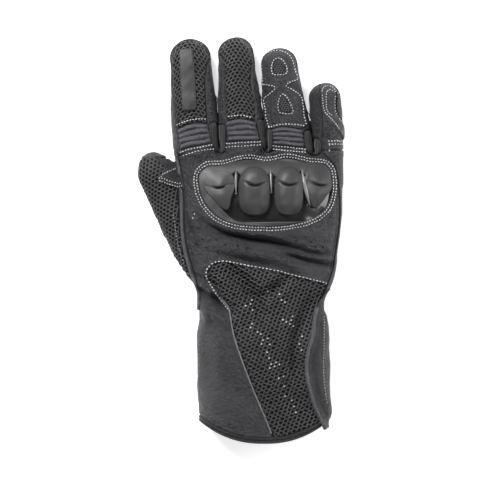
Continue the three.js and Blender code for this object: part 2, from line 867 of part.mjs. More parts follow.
add(
  "guard_shell",
  backHand(shellTop)
    .subtract(prism(opening))
    .add(join(KNUCKLES.map(knuckleBlock)))
    .subtract(backHand(underWall + layerGap))
    .intersect(prism(grown(guardWindow, -seamGap)))
    .intersect(guardHigh),
  satinPlastic,
);

add("back_panel", cut(onHand(box(-CLEAR, CLEAR, -0.1, 1.1)), upperHalf), leather);
add("palm_panel", rest, darkLeather);

// Flap over the mesh's outer edge; it wraps round the side of the cuff.
const flapOutline = smooth(
  onHand([
    [0.98, 0.5],
    [0.86, 0.44],
    [0.71, 0.334],
    [0.655, 0.272],
    [0.665, 0.214],
    [0.73, 0.145],
    [0.83, 0.085],
    [0.93, 0.05],
    [1.04, 0.058],
    [1.1, 0.12],
    [1.1, 0.46],
  ]),
  20,
);
const flapFloor = layerGap + bindingProud;
add(
  "cuff_flap",
  handForm(flapFloor + flapThickness, 0, stationAt(0.6))
    .subtract(handForm(flapFloor, 0, stationAt(0.6)))
    .intersect(prism(flapOutline, cuffHeight * 0.14)),
  leather,
);

// The origin is at the middle of the glove's plan, on the surface it lies on.
const bounds = new THREE.Box3().setFromObject(glove);
const centre = bounds.getCenter(new THREE.Vector3());
for (const part of glove.children)
  part.position.set(-centre.x, -centre.y, -bounds.min.z);

export default glove;
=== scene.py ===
"""Long-cuff summer motorcycle glove for the right hand, lying palm down.

Lengths inside the script are millimetres in the glove's own frame (+Y to the fingertips,
the thumb towards -X, the hem's lowest point at y = 0); they become metres in the row
frame when a mesh is made. Every panel is cut from one smooth form of the glove, so
neighbouring panels share their seams.
"""

import math

import bpy
import numpy as np
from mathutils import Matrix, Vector
from mathutils.bvhtree import BVHTree


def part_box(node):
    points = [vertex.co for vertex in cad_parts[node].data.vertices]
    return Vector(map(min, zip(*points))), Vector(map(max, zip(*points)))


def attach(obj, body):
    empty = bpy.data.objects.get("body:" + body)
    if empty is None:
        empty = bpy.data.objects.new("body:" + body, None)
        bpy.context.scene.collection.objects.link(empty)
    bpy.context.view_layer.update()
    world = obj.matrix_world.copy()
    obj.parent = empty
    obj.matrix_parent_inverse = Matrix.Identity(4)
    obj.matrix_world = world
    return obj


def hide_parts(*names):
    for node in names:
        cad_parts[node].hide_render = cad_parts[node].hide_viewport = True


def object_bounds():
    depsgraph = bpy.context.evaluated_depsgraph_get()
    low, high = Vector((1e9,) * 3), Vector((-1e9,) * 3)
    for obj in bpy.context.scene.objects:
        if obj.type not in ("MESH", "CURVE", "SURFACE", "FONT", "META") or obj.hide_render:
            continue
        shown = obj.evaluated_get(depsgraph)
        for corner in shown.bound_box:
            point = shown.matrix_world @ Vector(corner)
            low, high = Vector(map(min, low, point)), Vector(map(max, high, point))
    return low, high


bl_info = {
    "name": "Summer motorcycle glove",
    "version": (1, 0, 0),
    "blender": (4, 5, 0),
    "location": "3D View > Sidebar > Glove",
    "description": "Builds a long-cuff summer motorcycle glove panel by panel",
    "category": "Add Mesh",
}

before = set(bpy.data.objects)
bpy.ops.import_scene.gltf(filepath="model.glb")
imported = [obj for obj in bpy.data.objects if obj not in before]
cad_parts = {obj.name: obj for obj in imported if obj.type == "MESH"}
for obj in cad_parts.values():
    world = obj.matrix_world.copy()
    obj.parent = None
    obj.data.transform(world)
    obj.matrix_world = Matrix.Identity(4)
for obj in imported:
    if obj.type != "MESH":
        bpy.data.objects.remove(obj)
CAD_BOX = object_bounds()

MM = 0.001
PALM_WIDTH = 122.0
HAND_LENGTH = 217.5
CUFF_WIDTH = 98.0
CUFF_HALF = 0.49 * CUFF_WIDTH  # half-width at the hem
CUFF_HEIGHT = 48
CUFF_MIDDLE = 0.02 * PALM_WIDTH
WRIST_WIDTH = 93.5
CROTCH_WIDTH = 127.9
CROTCH_MIDDLE = -0.012 * PALM_WIDTH
FINGER_GAP = 0.8
BINDING_WIDTH = 4.2
HEM_RISE = 16.0
SEAM_SHARE = 0.46  # where the side seam runs, as a share of the hand's height
LOWEST = 0.02  # the form's underside stands so high over the floor
LINE_STEP = 1.2  # from point to point of a line laid on the glove
FAR = 40.0  # value of a field far outside its outline
SHORTEST = 0.12  # square of the least share that a step on the surface has on the plan
ROUND = 2 * np.pi * np.arange(12) / 12  # the angles of a small round section
work = {}  # what one step leaves for the next: finishes, trees, the form and its cuts


def origin():
    """The place of the glove's own frame in the row frame, in millimetres."""
    low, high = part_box("hem_binding")
    middle = (low.x + high.x) / 2 / MM
    return np.array([middle - CUFF_MIDDLE, low.y / MM, 0.0])


# ---------------------------------------------------------------- sizes and colours


def length(name, description, default):
    return bpy.props.FloatProperty(
        name=name, description=description, default=default * MM, min=0.0, unit="LENGTH", precision=5
    )


def colour(name, description, default):
    return bpy.props.FloatVectorProperty(
        name=name, description=description, default=default, size=3, subtype="COLOR", min=0.0, max=1.0
    )


class GloveSizes(bpy.types.PropertyGroup):
    wall: length("Wall", "Thickness of the leather with its lining", 1.8)
    overlay: length("Overlay", "Thickness of leather sewn on top", 1.2)
    seam_gap: length("Seam gap", "Width of the groove between two panels", 0.6)
    voxel: length("Form step", "Size of the smallest facet of the glove's form", 1.15)
    stitch_pitch: length("Stitch pitch", "From one stitch to the next", 2.2)
    stitch_length: length("Stitch length", "Visible length of one stitch", 1.4)
    thread: length("Thread", "Radius of the sewing thread", 0.46)
    net_pitch: length("Net pitch", "Width of one cell of the cuff's net", 3.8)
    net_strand: length("Net strand", "Radius of one strand of the cuff's net", 0.5)
    cloth_pitch: length("Cloth pitch", "Width of one hole of the finger cloth", 3.4)
    cloth_strand: length("Cloth strand", "Radius of a strand of the finger cloth", 0.5)
    rib_height: length("Rib height", "How far the stretch ribs stand up", 2.2)
    knuckle_rise: length("Knuckle rise", "Height of the middle knuckle blocks", 5.6)
    grain: bpy.props.FloatProperty(
        name="Grain", description="Grains of the leather per metre", default=760.0, min=10.0
    )


class GloveColours(bpy.types.PropertyGroup):
    leather: colour("Leather", "Grained leather of the back", (0.037, 0.0362, 0.0415))
    dark_leather: colour("Dark leather", "Palm, finger fronts and hem", (0.022, 0.0215, 0.024))
    light_leather: colour("Light leather", "Rolled edges and piping", (0.17, 0.17, 0.178))
    cloth: colour("Mesh cloth", "Strands of the mesh", (0.032, 0.032, 0.033))
    # Near-black: the sheet behind the mesh; the same black on the perforated leather and in the side seams is
    # painted shade.
    backing_and_painted_shade: colour("Backing", "What shows through the mesh", (0.004, 0.004, 0.004))
    # Pale beads in the cuff's net: painted highlights on the net's crossings.
    painted_highlight_dots: colour("Dots", "Pale knots under the cuff's net", (0.6, 0.6, 0.61))
    knit: colour("Knit", "Gussets between the fingers", (0.015, 0.015, 0.016))
    satin: colour("Satin plastic", "Knuckle guard", (0.026, 0.026, 0.027))
    gloss: colour("Gloss plastic", "Plate under the guard", (0.009, 0.009, 0.0095))
    patch: colour("Patch", "Plain smooth strip on the index finger", (0.018, 0.018, 0.0185))
    thread: colour("Thread", "Sewing thread", (0.6, 0.6, 0.61))
    floor: colour("Floor", "Surface under the glove", (0.9, 0.9, 0.9))


def sizes():
    return bpy.context.scene.glove_sizes


def colours():
    return bpy.context.scene.glove_colours


# ---------------------------------------------------------------- the glove's measures


def rows(columns, lists):
    """Turns short lists into columns of numbers with names."""
    table = np.array(lists, float).T
    return dict(zip(columns, table))


def unit(vectors, least=0.0):
    """Vectors of length one, apart from those shorter than the least length."""
    return vectors / np.maximum(np.linalg.norm(vectors, axis=1, keepdims=True), least)


# Sections of the hand from the hem to the crotches. "along" is a share of the hand's
# length, "centre" a share of the palm's width.
HAND = rows(
    ["along", "centre", "width", "height", "lift"],
    [
        [0.0, 0.02, CUFF_WIDTH * 0.98, CUFF_HEIGHT, 0],
        [0.083, 0.02, CUFF_WIDTH * 0.99, CUFF_HEIGHT, 0],
        [0.214, 0.013, CUFF_WIDTH, 46.6, 0],
        [0.352, 0.008, CUFF_WIDTH * 0.995, 44.2, 0],
        [0.44, 0.005, WRIST_WIDTH * 1.002, 40.3, 1.8],
        [0.49, 0.004, WRIST_WIDTH, 38, 2.5],
        [0.538, 0.015, WRIST_WIDTH * 1.1, 37.2, 2],
        [0.593, 0.01, PALM_WIDTH * 0.9, 36.7, 0],
        [0.662, 0.003, PALM_WIDTH * 0.945, 36.7, 0],
        [0.748, 0.003, PALM_WIDTH * 0.985, 36.7, 0],
        [0.834, 0.002, PALM_WIDTH, 36, 0],
        [0.91, -0.006, PALM_WIDTH * 1.005, 33.8, 0],
        [0.95, -0.011, PALM_WIDTH * 1.02, 30, 0],
        [1.0, -0.012, CROTCH_WIDTH, 18, 0],
    ],
)

# Fingers from the thumb's side. "tip" and "cap" are the tip's width and the length of its
# rounding as shares of the width, and "lean" turns the finger towards the thumb, in degrees.
FINGERS = {
    "index": {"length": 84, "width": 34.5, "tip": 0.87, "cap": 0.42, "lean": 3.6},
    "middle": {"length": 85.5, "width": 34.5, "tip": 0.74, "cap": 0.34, "lean": 4.5},
    "ring": {"length": 77.5, "width": 35, "tip": 0.745, "cap": 0.33, "lean": 7.9},
    "little": {"length": 51, "width": 21.5, "tip": 1.14, "cap": 0.56, "lean": 5},
}


def smooth_column(name, along):
    """Smooth value of one column of the hand's sections."""
    keys, values = HAND["along"], HAND[name]
    along = np.asarray(along, float)
    i = np.clip(np.searchsorted(keys, along, "right") - 1, 0, len(keys) - 2)
    t = np.clip((along - keys[i]) / (keys[i + 1] - keys[i]), 0, 1)
    a, b = values[np.maximum(i - 1, 0)], values[i]
    c, d = values[i + 1], values[np.minimum(i + 2, len(keys) - 1)]
    return b + 0.5 * t * (c - a + t * (2 * a - 5 * b + 4 * c - d + t * (3 * (b - c) + d - a)))


def hand_plan(places):
    """Places on the plan of the hand, from shares of its half-width and its length."""
    across, along = np.array(places, float).T
    half = smooth_column("width", along) / 2
    x = smooth_column("centre", along) * PALM_WIDTH + across * half
    return np.stack([x, along * HAND_LENGTH], 1)


def place_digits():
    """The five digits, each with its root on the hand.

    "foot" is the share of its width where it leaves the hand, "inside" how deep it starts in
    the hand, "arch" and "lift" how far it stands off the floor, and "spare" what its tip
    reaches past its length."""
    edge = CROTCH_MIDDLE - CROTCH_WIDTH / 2
    for finger in FINGERS.values():
        finger.update(root=np.array([edge + finger["width"] / 2, HAND_LENGTH]), inside=26.0, foot=0.965)
        finger.update(height=26.0, tip_height=19.0, arch=2.2, lift=0.35, spare=1.7)
        edge += finger["width"] + FINGER_GAP
    thumb = {"length": 108, "width": 32.5, "tip": 0.9, "cap": 0.6, "lean": 26.4}
    thumb.update(root=hand_plan([(-0.755, 0.552)])[0], inside=0.0, foot=0.7)
    thumb.update(height=27.0, tip_height=22.0, arch=0.0, lift=0.35, spare=0.0)
    return {**FINGERS, "thumb": thumb}


DIGITS = place_digits()


def digit_half(d, v):
    """Half-width of a digit before its tip rounds off, at a distance from the crotch."""
    along = np.clip(v / d["length"], 0, 1)
    bulge = 1 + 0.035 * np.sin(np.pi * np.minimum(1, along / 0.75))
    foot = np.clip(v / (d["length"] * 0.26), 0, 1) ** 0.7
    return d["width"] / 2 * (1 + (d["tip"] - 1) * along) * bulge * (d["foot"] + (1 - d["foot"]) * foot)


def digit_place(d, u, v):
    """Places on the plan, from distances across and along a digit."""
    c, s = math.cos(math.radians(d["lean"])), math.sin(math.radians(d["lean"]))
    return np.stack([d["root"][0] + u * c - v * s, d["root"][1] + u * s + v * c], -1)


def digit_axes(d, points):
    """Distances across and along a digit, from its root."""
    c, s = math.cos(math.radians(d["lean"])), math.sin(math.radians(d["lean"]))
    x, y = (points[:, :2] - d["root"]).T
    return x * c + y * s, -x * s + y * c


def digit_plan(name, places):
    """Places on the plan of a digit, from shares of its half-width and its length."""
    d = DIGITS[name]
    across, along = np.array(places, float).T
    v = along * d["length"]
    return digit_place(d, across * digit_half(d, v), v)


def digit_middle(name):
    """The height of a digit's middle, where its back ends."""
    d = DIGITS[name]
    return (d["height"] + d["tip_height"]) / 4 + 1.0


def rounded(points, steps=6, closed=True):
    """A smooth line through a few points, whose steps follow their spacing."""
    points = np.asarray(points, float)
    if closed:
        around = np.concatenate([points[-1:], points, points[:2]])
    else:
        around = np.concatenate([2 * points[:1] - points[1:2], points, 2 * points[-1:] - points[-2:-1]])
    line = []
    for a, b, c, d in zip(around, around[1:], around[2:], around[3:]):
        painted_knot_highlights = [0.0]
        for p, q in ((a, b), (b, c), (c, d)):
            painted_knot_highlights.append(painted_knot_highlights[-1] + max(np.linalg.norm(q - p), 1e-6) ** 0.5)
        for t in np.linspace(painted_knot_highlights[1], painted_knot_highlights[2], steps, endpoint=False):
            lerp = lambda p, q, i, j: ((painted_knot_highlights[j] - t) * p + (t - painted_knot_highlights[i]) * q) / (painted_knot_highlights[j] - painted_knot_highlights[i])
            ab, bc, cd = lerp(a, b, 0, 1), lerp(b, c, 1, 2), lerp(c, d, 2, 3)
            line.append(lerp(lerp(ab, bc, 0, 2), lerp(bc, cd, 1, 3), 1, 2))
    if not closed:
        line.append(points[-1])
    return np.array(line)


def hand_line(places, steps=4):
    """A smooth open line through places on the hand."""
    return rounded(hand_plan(places), steps, closed=False)


def grown(points, distance):
    """A closed outline moved outwards (inwards if the distance is negative)."""
    before, after = unit(points - np.roll(points, 1, 0)), unit(np.roll(points, -1, 0) - points)
    out = np.stack([before[:, 1] + after[:, 1], -before[:, 0] - after[:, 0]], 1)
    x, y = points.T
    turn = np.sign(np.sum(x * np.roll(y, -1) - np.roll(x, -1) * y))
    return points + unit(out, 1e-9) * distance * turn


# ---------------------------------------------------------------- surfaces as numbers


def face_normals(points, faces):
    a, b, c = (points[faces[:, i]] for i in range(3))
    return np.cross(b - a, c - a)


def gather(index, values, count):
    """For each point the sum of the values that name it."""
    return np.stack([np.bincount(index, values[:, i], count) for i in range(values.shape[1])], 1)


def point_normals(points, faces):
    flat = face_normals(points, faces)
    return unit(sum(gather(faces[:, i], flat, len(points)) for i in range(3)), 1e-12)


def quads(a, b, c, d):
    """Two triangles for each four corners."""
    return np.concatenate([np.stack([a, b, c], 1), np.stack([a, c, d], 1)])


def edge_pairs(faces):
    pairs = np.concatenate([faces[:, [0, 1]], faces[:, [1, 2]], faces[:, [2, 0]]])
    return np.unique(np.sort(pairs, 1), axis=0)


def blurred(values, pairs, times, share=0.5):
    """Each point's values moved towards its neighbours' mean, some times over."""
    a, b = pairs.T
    count = len(values)
    degree = np.maximum(np.bincount(a, minlength=count) + np.bincount(b, minlength=count), 1)
    for _ in range(times):
        total = gather(a, values[b], count) + gather(b, values[a], count)
        values = values + share * (total / degree[:, None] - values)
    return values


class Skin:
    """A triangulated surface with normals and named numbers on its points."""

    def __init__(self, points, faces, normals, fields):
        self.points, self.faces, self.normals, self.fields = points, faces, normals, fields

    def part(self, faces_kept):
        faces = self.faces[faces_kept]
        used = np.zeros(len(self.points), bool)
        used[faces.ravel()] = True
        number = np.cumsum(used) - 1
        fields = {k: v[used] for k, v in self.fields.items()}
        return Skin(self.points[used], number[faces], self.normals[used], fields)

    def _add(self, pairs, share):
        """New points between pairs of points."""
        mix = lambda v, t: v[pairs[:, 0]] * (1 - t) + v[pairs[:, 1]] * t
        column = share[:, None]
        self.points = np.concatenate([self.points, mix(self.points, column)])
        self.normals = np.concatenate([self.normals, unit(mix(self.normals, column))])
        self.fields = {k: np.concatenate([v, mix(v, share)]) for k, v in self.fields.items()}

    def split(self, name, level):
        """Cuts triangles in two along the line where a field has this level."""
        value = self.fields[name]
        inside = value[self.faces] >= level
        count = inside.sum(1)
        crossed = (count == 1) | (count == 2)
        if not crossed.any():
            return
        tri, side = self.faces[crossed], inside[crossed]
        odd = np.where(count[crossed] == 1, side.argmax(1), (~side).argmax(1))
        row = np.arange(len(tri))
        a, b, c = tri[row, odd], tri[row, (odd + 1) % 3], tri[row, (odd + 2) % 3]
        pairs = np.sort(np.concatenate([np.stack([a, b], 1), np.stack([a, c], 1)]), 1)
        key, back = np.unique(pairs[:, 0] * len(value) + pairs[:, 1], return_inverse=True)
        unique = np.stack([key // len(value), key % len(value)], 1)
        low, high = value[unique[:, 0]], value[unique[:, 1]]
        first = len(value)
        self._add(unique, np.clip((level - low) / (high - low), 0.05, 0.95))
        self.fields[name][first:] = level
        p, q = first + back[: len(tri)], first + back[len(tri) :]
        cut = [np.stack(f, 1) for f in ((a, p, q), (p, b, c), (p, c, q))]
        self.faces = np.concatenate([self.faces[~crossed], *cut])

    def finer(self):
        """Each triangle in four."""
        pairs = edge_pairs(self.faces)
        key = pairs[:, 0] * len(self.points) + pairs[:, 1]
        first = len(self.points)
        middle = []
        for i, j in ((0, 1), (1, 2), (2, 0)):
            pair = np.sort(self.faces[:, [i, j]], 1)
            middle.append(first + np.searchsorted(key, pair[:, 0] * first + pair[:, 1]))
        a, b, c = self.faces.T
        ab, bc, ca = middle
        self._add(pairs, np.full(len(pairs), 0.5))
        parts = ((a, ab, ca), (ab, b, bc), (ca, bc, c), (ab, bc, ca))
        self.faces = np.concatenate([np.stack(f, 1) for f in parts])

    def without_specks(self):
        """The surface without loose scraps at the corners of a cut."""
        label = np.arange(len(self.points))
        a, b = edge_pairs(self.faces).T
        for _ in range(400):
            low = np.minimum(label[a], label[b])
            before = label.copy()
            np.minimum.at(label, a, low)
            np.minimum.at(label, b, low)
            label = label[label]
            if (label == before).all():
                break
        names, count = np.unique(label, return_counts=True)
        good = np.isin(label, names[count >= max(12, count.max() * 0.02)])
        return self.part(good[self.faces[:, 0]])


def plan_distance(xy, outline):
    """Signed distance to a closed outline (positive inside) and the way to it."""
    best = np.full(len(xy), np.inf)
    nearest = np.zeros_like(xy)
    inside = np.zeros(len(xy), bool)
    x, y = xy.T
    for a, b in zip(outline, np.roll(outline, -1, 0)):
        ab = b - a
        t = np.clip(((xy - a) @ ab) / max(ab @ ab, 1e-12), 0, 1)
        q = a + t[:, None] * ab
        d = ((xy - q) ** 2).sum(1)
        closer = d < best
        best[closer], nearest[closer] = d[closer], q[closer]
        if a[1] != b[1]:
            crosses = (a[1] > y) != (b[1] > y)
            inside ^= crosses & (x < (b[0] - a[0]) * (y - a[1]) / (b[1] - a[1]) + a[0])
    distance = np.sqrt(best)
    way = (xy - nearest) / np.maximum(distance, 1e-9)[:, None]
    return np.where(inside, distance, -distance), way


def line_distance(xy, line):
    """Distance to an open line, and the share of its length at the nearest place."""
    best = np.full(len(xy), np.inf)
    share = np.zeros(len(xy))
    steps = np.linalg.norm(np.diff(line, axis=0), axis=1)
    done = 0.0
    for a, b, step in zip(line, line[1:], steps):
        ab = b - a
        t = np.clip(((xy - a) @ ab) / max(ab @ ab, 1e-12), 0, 1)
        d = ((xy - a - t[:, None] * ab) ** 2).sum(1)
        closer = d < best
        best[closer], share[closer] = d[closer], ((done + t * step) / steps.sum())[closer]
        done += step
    return np.sqrt(best), share


def inside_of(outline, skin=None):
    """Distance along the surface from an outline on the plan, positive inside it."""
    skin = skin or work["form"]
    points, normals = skin.points, skin.normals
    low, high = outline.min(0) - 12, outline.max(0) + 12
    near = ((points[:, :2] > low) & (points[:, :2] < high)).all(1)
    field = np.full(len(points), -FAR)
    distance, way = plan_distance(points[near, :2], outline)
    steep = np.einsum("ij,ij->i", normals[near, :2], way)
    field[near] = distance / np.sqrt(np.maximum(1 - steep**2, SHORTEST))
    return field


def higher_than(height):
    """Distance along the form from a height, positive above it."""
    form = work["form"]
    steep = np.sqrt(np.maximum(1 - form.normals[:, 2] ** 2, SHORTEST))
    return (form.points[:, 2] - height) / steep


# ---------------------------------------------------------------- the form of the glove


def power(value, exponent):
    return np.sign(value) * np.abs(value) ** exponent


def section(sides, half, seam, top, bottom):
    """A flattened round section: across and height, pressed flat where it lies."""
    angle = 2 * np.pi * np.arange(sides) / sides
    up = np.sin(angle) >= 0
    n = np.where(up, 2 / 2.4, 2 / 3.4)  # rounder above than below
    lift = power(np.sin(angle), n)
    across = half * power(np.cos(angle), n)
    z = np.where(up, seam + (top - seam) * lift, seam - (seam - bottom) * np.minimum(1, -lift * 1.07))
    return across, z


def closed_tube(rings):
    """Points and triangles of a closed solid through rings of points."""
    count, sides = len(rings), len(rings[0])
    points = np.concatenate([*rings, [rings[0].mean(0)], [rings[-1].mean(0)]])
    i = np.arange(sides)
    j = (i + 1) % sides
    faces = []
    for r in range(count - 1):
        a, b = r * sides + i, r * sides + j
        faces.append(quads(a, b, b + sides, a + sides))
    hub, last = count * sides, (count - 1) * sides
    faces.append(np.stack([np.full(sides, hub), j, i], 1))
    faces.append(np.stack([np.full(sides, hub + 1), last + i, last + j], 1))
    return points, np.concatenate(faces)


def hand_tube():
    rings = []
    for along in np.linspace(-0.06, 1.0, 120):
        shown = max(along, 0.0)
        columns = ("centre", "width", "height", "lift")
        centre, width, height, lift = (float(smooth_column(name, shown)) for name in columns)
        across, z = section(72, width / 2, height * SEAM_SHARE, height, lift)
        x = centre * PALM_WIDTH + across
        rings.append(np.stack([x, np.full_like(x, along * HAND_LENGTH), z], 1))
    return closed_tube(rings[::-1])


def digit_tube(d):
    cap = d["cap"] * d["width"]
    start = d["length"] + d["spare"] - cap
    stations = [(v, 0.0) for v in np.linspace(-d["inside"], start, 40, endpoint=False)]
    stations += [(start + math.sin(t) * cap, math.sin(t)) for t in np.linspace(0, 1.5, 14)]
    rings = []
    for v, closing in stations:
        shrink = math.sqrt(1 - closing**2)
        along = min(max(v / d["length"], 0), 1)
        height = d["height"] + (d["tip_height"] - d["height"]) * along
        middle = d["arch"] * math.sin(math.pi * along) + d["lift"] * (1 - along) + height / 2
        depth = max(0.0, -v / max(d["inside"], 1))
        inner, shrink = depth * 3.5, shrink * (1 - 0.24 * depth)  # sinks into the hand
        across, z = section(
            44, float(digit_half(d, max(v, 0))) * shrink, middle,
            middle + height / 2 * shrink - inner, middle - height / 2 * shrink,
        )
        xy = digit_place(d, across, np.full_like(across, v))
        rings.append(np.column_stack([xy, z]))
    return closed_tube(rings[::-1])


def outward(points, faces):
    """Triangles turned so that the solid they close faces outwards."""
    a, b, c = (points[faces[:, i]] for i in range(3))
    volume = np.einsum("ij,ij->i", a, np.cross(b, c)).sum()
    return faces if volume > 0 else faces[:, ::-1]


FOLD_STRENGTH = 1.7
# Folds pressed into the leather, as lines through places on the hand. The last two numbers
# are the width in millimetres and the depth, and a negative depth is a ridge.
FOLDS = [
    # below the guard the leather rolls over itself
    [
        (-0.8, 0.785), (-0.7, 0.757), (-0.5, 0.722), (-0.2, 0.7), (0.1, 0.69), (0.33, 0.677), (0.6, 0.655),
        (0.86, 0.645), 2.1, 3.6,
    ],
    [(-0.55, 0.757), (-0.1, 0.727), (0.3, 0.717), (0.6, 0.712), (0.85, 0.722), 2.8, -1.4],
    [(-0.66, 0.69), (-0.38, 0.672), (-0.13, 0.655), (0.175, 0.638), (0.384, 0.614), (0.69, 0.569), 3.6, -2.2],
    [(0.2, 0.662), (0.5, 0.636), (0.93, 0.612), 2.6, 1.4],
    [(0.4, 0.652), (0.62, 0.637), (0.95, 0.628), 2.0, -1.4],
    [(0.2, 0.648), (0.55, 0.632), (0.92, 0.61), 1.5, 1.1],
    [(0.45, 0.672), (0.66, 0.674), (0.85, 0.668), 1.2, 0.7],
    [(-0.3, 0.672), (-0.12, 0.66), (0.06, 0.648), 1.2, 0.6],
    [(-0.95, 0.78), (-0.86, 0.71), (-0.8, 0.65), 2.2, 1.0],
    [(-0.62, 0.655), (-0.3, 0.632), (0.1, 0.608), 1.8, 0.9],
    # the pinch at the wrist
    [(-1.04, 0.53), (-0.82, 0.492), (-0.62, 0.462), (-0.5, 0.444), 3.8, 4.2],
    [(-0.8, 0.57), (-0.68, 0.5), (-0.58, 0.455), 4.0, 2.0],
    [(-0.85, 0.5), (-0.74, 0.475), (-0.62, 0.44), 1.1, 1.2],
    [(-0.9, 0.455), (-0.76, 0.45), (-0.62, 0.425), 1.0, 0.9],
    [(-0.95, 0.425), (-0.67, 0.43), (-0.48, 0.4), 4.6, -1.6],
    [(-1.0, 0.585), (-0.84, 0.56), (-0.66, 0.54), 2.2, 1.4],
    [(-0.9, 0.505), (-0.76, 0.52), (-0.62, 0.51), 2.4, -1.0],
    [(-0.86, 0.47), (-0.8, 0.44), (-0.78, 0.4), 1.8, 1.2],
    [(-0.95, 0.4), (-0.84, 0.3), (-0.8, 0.2), 6.0, 1.2],
    [(-0.62, 0.35), (-0.5, 0.24), (-0.3, 0.12), 4.5, 1.2],
    [(-0.9, 0.2), (-0.6, 0.13), (-0.25, 0.07), 8.0, -0.9],
    # the net sinks below the wrist and along the flap
    [(-0.5, 0.61), (-0.27, 0.548), (-0.08, 0.485), (0.02, 0.42), 4.2, 2.6],
    [(0.4, 0.575), (0.17, 0.53), (-0.05, 0.487), 3.6, 2.0],
    [(0.8, 0.5), (0.56, 0.36), (0.48, 0.24), 5.5, 3.0],
    [(0.5, 0.3), (0.5, 0.18), (0.64, 0.07), 5.5, 2.6],
    [(-0.2, 0.4), (0.0, 0.28), (0.2, 0.14), 8.0, -1.2],
    [(0.1, 0.38), (0.3, 0.26), (0.4, 0.12), 3.5, 1.2],
    # creases beside the guard
    [(-0.94, 0.93), (-0.86, 0.88), (-0.84, 0.82), 2.4, 0.3],
    [(0.9, 0.82), (0.86, 0.77), (0.84, 0.72), 1.8, 0.5],
]


def fold_depth(xy):
    depth = np.zeros(len(xy))
    for *places, width, deep in FOLDS:
        line = hand_line(places, 6)
        near = ((xy > line.min(0) - 4 * width) & (xy < line.max(0) + 4 * width)).all(1)
        away, share = line_distance(xy[near], line)
        ends = np.sin(np.pi * np.clip(share, 0.02, 0.98)) ** 0.6
        away = away / width
        shape = np.exp(-(away**2)) - 0.28 * np.exp(-((away - 2.1) ** 2) / 0.8)
        depth[near] += FOLD_STRENGTH * deep * ends * shape
    return depth


def soft_waves(points, size, seed, count=14):
    """Gentle irregular waves of about one millimetre's height, of a given size."""
    chance = np.random.default_rng(seed)
    total = np.zeros(len(points))
    for _ in range(count):
        way = chance.normal(size=3)
        way /= np.linalg.norm(way)
        wave = 2 * np.pi / (size * chance.uniform(0.7, 1.6))
        total += np.sin(points @ way * wave + chance.uniform(0, 2 * np.pi))
    return total / math.sqrt(count / 2)


def voxel_skin(solids, voxel):
    """Points and triangles of one closed skin round overlapping solids."""
    points, faces, start = [], [], 0
    for p, f in solids:
        points.append(p)
        faces.append(outward(p, f) + start)
        start += len(p)
    mesh = bpy.data.meshes.new("form")
    mesh.from_pydata(np.concatenate(points).tolist(), [], np.concatenate(faces).tolist())
    body = bpy.data.objects.new("form", mesh)
    bpy.context.scene.collection.objects.link(body)
    remesh = body.modifiers.new("voxels", "REMESH")
    remesh.mode = "VOXEL"
    remesh.voxel_size = voxel
    bpy.context.view_layer.update()
    made = bpy.data.meshes.new_from_object(body.evaluated_get(bpy.context.evaluated_depsgraph_get()))
    made.calc_loop_triangles()
    points = np.zeros(len(made.vertices) * 3)
    made.vertices.foreach_get("co", points)
    faces = np.zeros(len(made.loop_triangles) * 3, np.int32)
    made.loop_triangles.foreach_get("vertices", faces)
    points, faces = points.reshape(-1, 3), faces.reshape(-1, 3).astype(np.int64)
    bpy.data.objects.remove(body)
    bpy.data.meshes.remove(mesh)
    bpy.data.meshes.remove(made)
    return points, outward(points, faces)


def soft_normals(points, faces, pairs, times):
    return unit(blurred(point_normals(points, faces), pairs, times))


def make_form():
    """The glove's outside before it is cut into panels."""
    tubes = [hand_tube(), *(digit_tube(d) for d in DIGITS.values())]
    points, faces = voxel_skin(tubes, sizes().voxel / MM)
    pairs = edge_pairs(faces)
    for _ in range(6):  # takes the voxels' steps away without shrinking the form
        points = blurred(points, pairs, 1, 0.6)
        points = blurred(points, pairs, 1, -0.52)
    points = blurred(points, pairs, 3)
    normals = soft_normals(points, faces, pairs, 3)
    upper = np.clip(normals[:, 2] * 1.8, 0, 1)
    on_hand = np.clip((HAND_LENGTH + 2 - points[:, 1]) / 6, 0, 1)  # the folds end at the crotches
    depth = fold_depth(points[:, :2]) * upper * on_hand
    depth += 0.22 * soft_waves(points, size=22, seed=3) + 0.07 * soft_waves(points, size=8, seed=5)
    points = points - normals * depth[:, None]
    points[:, 2] = np.maximum(points[:, 2], LOWEST)
    work["form"] = Skin(points, faces, soft_normals(points, faces, pairs, 2), {})
    work["tree"] = BVHTree.FromPolygons(points.tolist(), faces.tolist())


def on_top(xy):
    """Points and normals of the glove's upper side above places on the plan."""
    points, normals = [], []
    for x, y in np.asarray(xy, float):
        hit, normal, _, _ = work["tree"].ray_cast(Vector((x, y, 90)), Vector((0, 0, -1)))
        if hit is None:
            hit, normal, _, _ = work["tree"].find_nearest(Vector((x, y, 12)))
        points.append(hit[:])
        normals.append(normal[:])
    return np.array(points), np.array(normals)


def top_line(xy, lift, closed=False):
    """A line on the plan laid on the glove's upper side, at even steps."""
    xy = np.asarray(xy, float)
    if closed:
        xy = np.concatenate([xy, xy[:1]])
    steps = np.linalg.norm(np.diff(xy, axis=0), axis=1)
    places = np.concatenate([[0], np.cumsum(steps)])
    at = np.linspace(0, places[-1], max(2, int(places[-1] / LINE_STEP) + 1))
    even = np.stack([np.interp(at, places, xy[:, i]) for i in range(2)], 1)
    points, normals = on_top(even)
    for _ in range(2):
        normals[1:-1] = (normals[:-2] + 2 * normals[1:-1] + normals[2:]) / 4
        normals = unit(normals)
    points = points + normals * lift
    return points[:-1] if closed else points


# ---------------------------------------------------------------- pieces


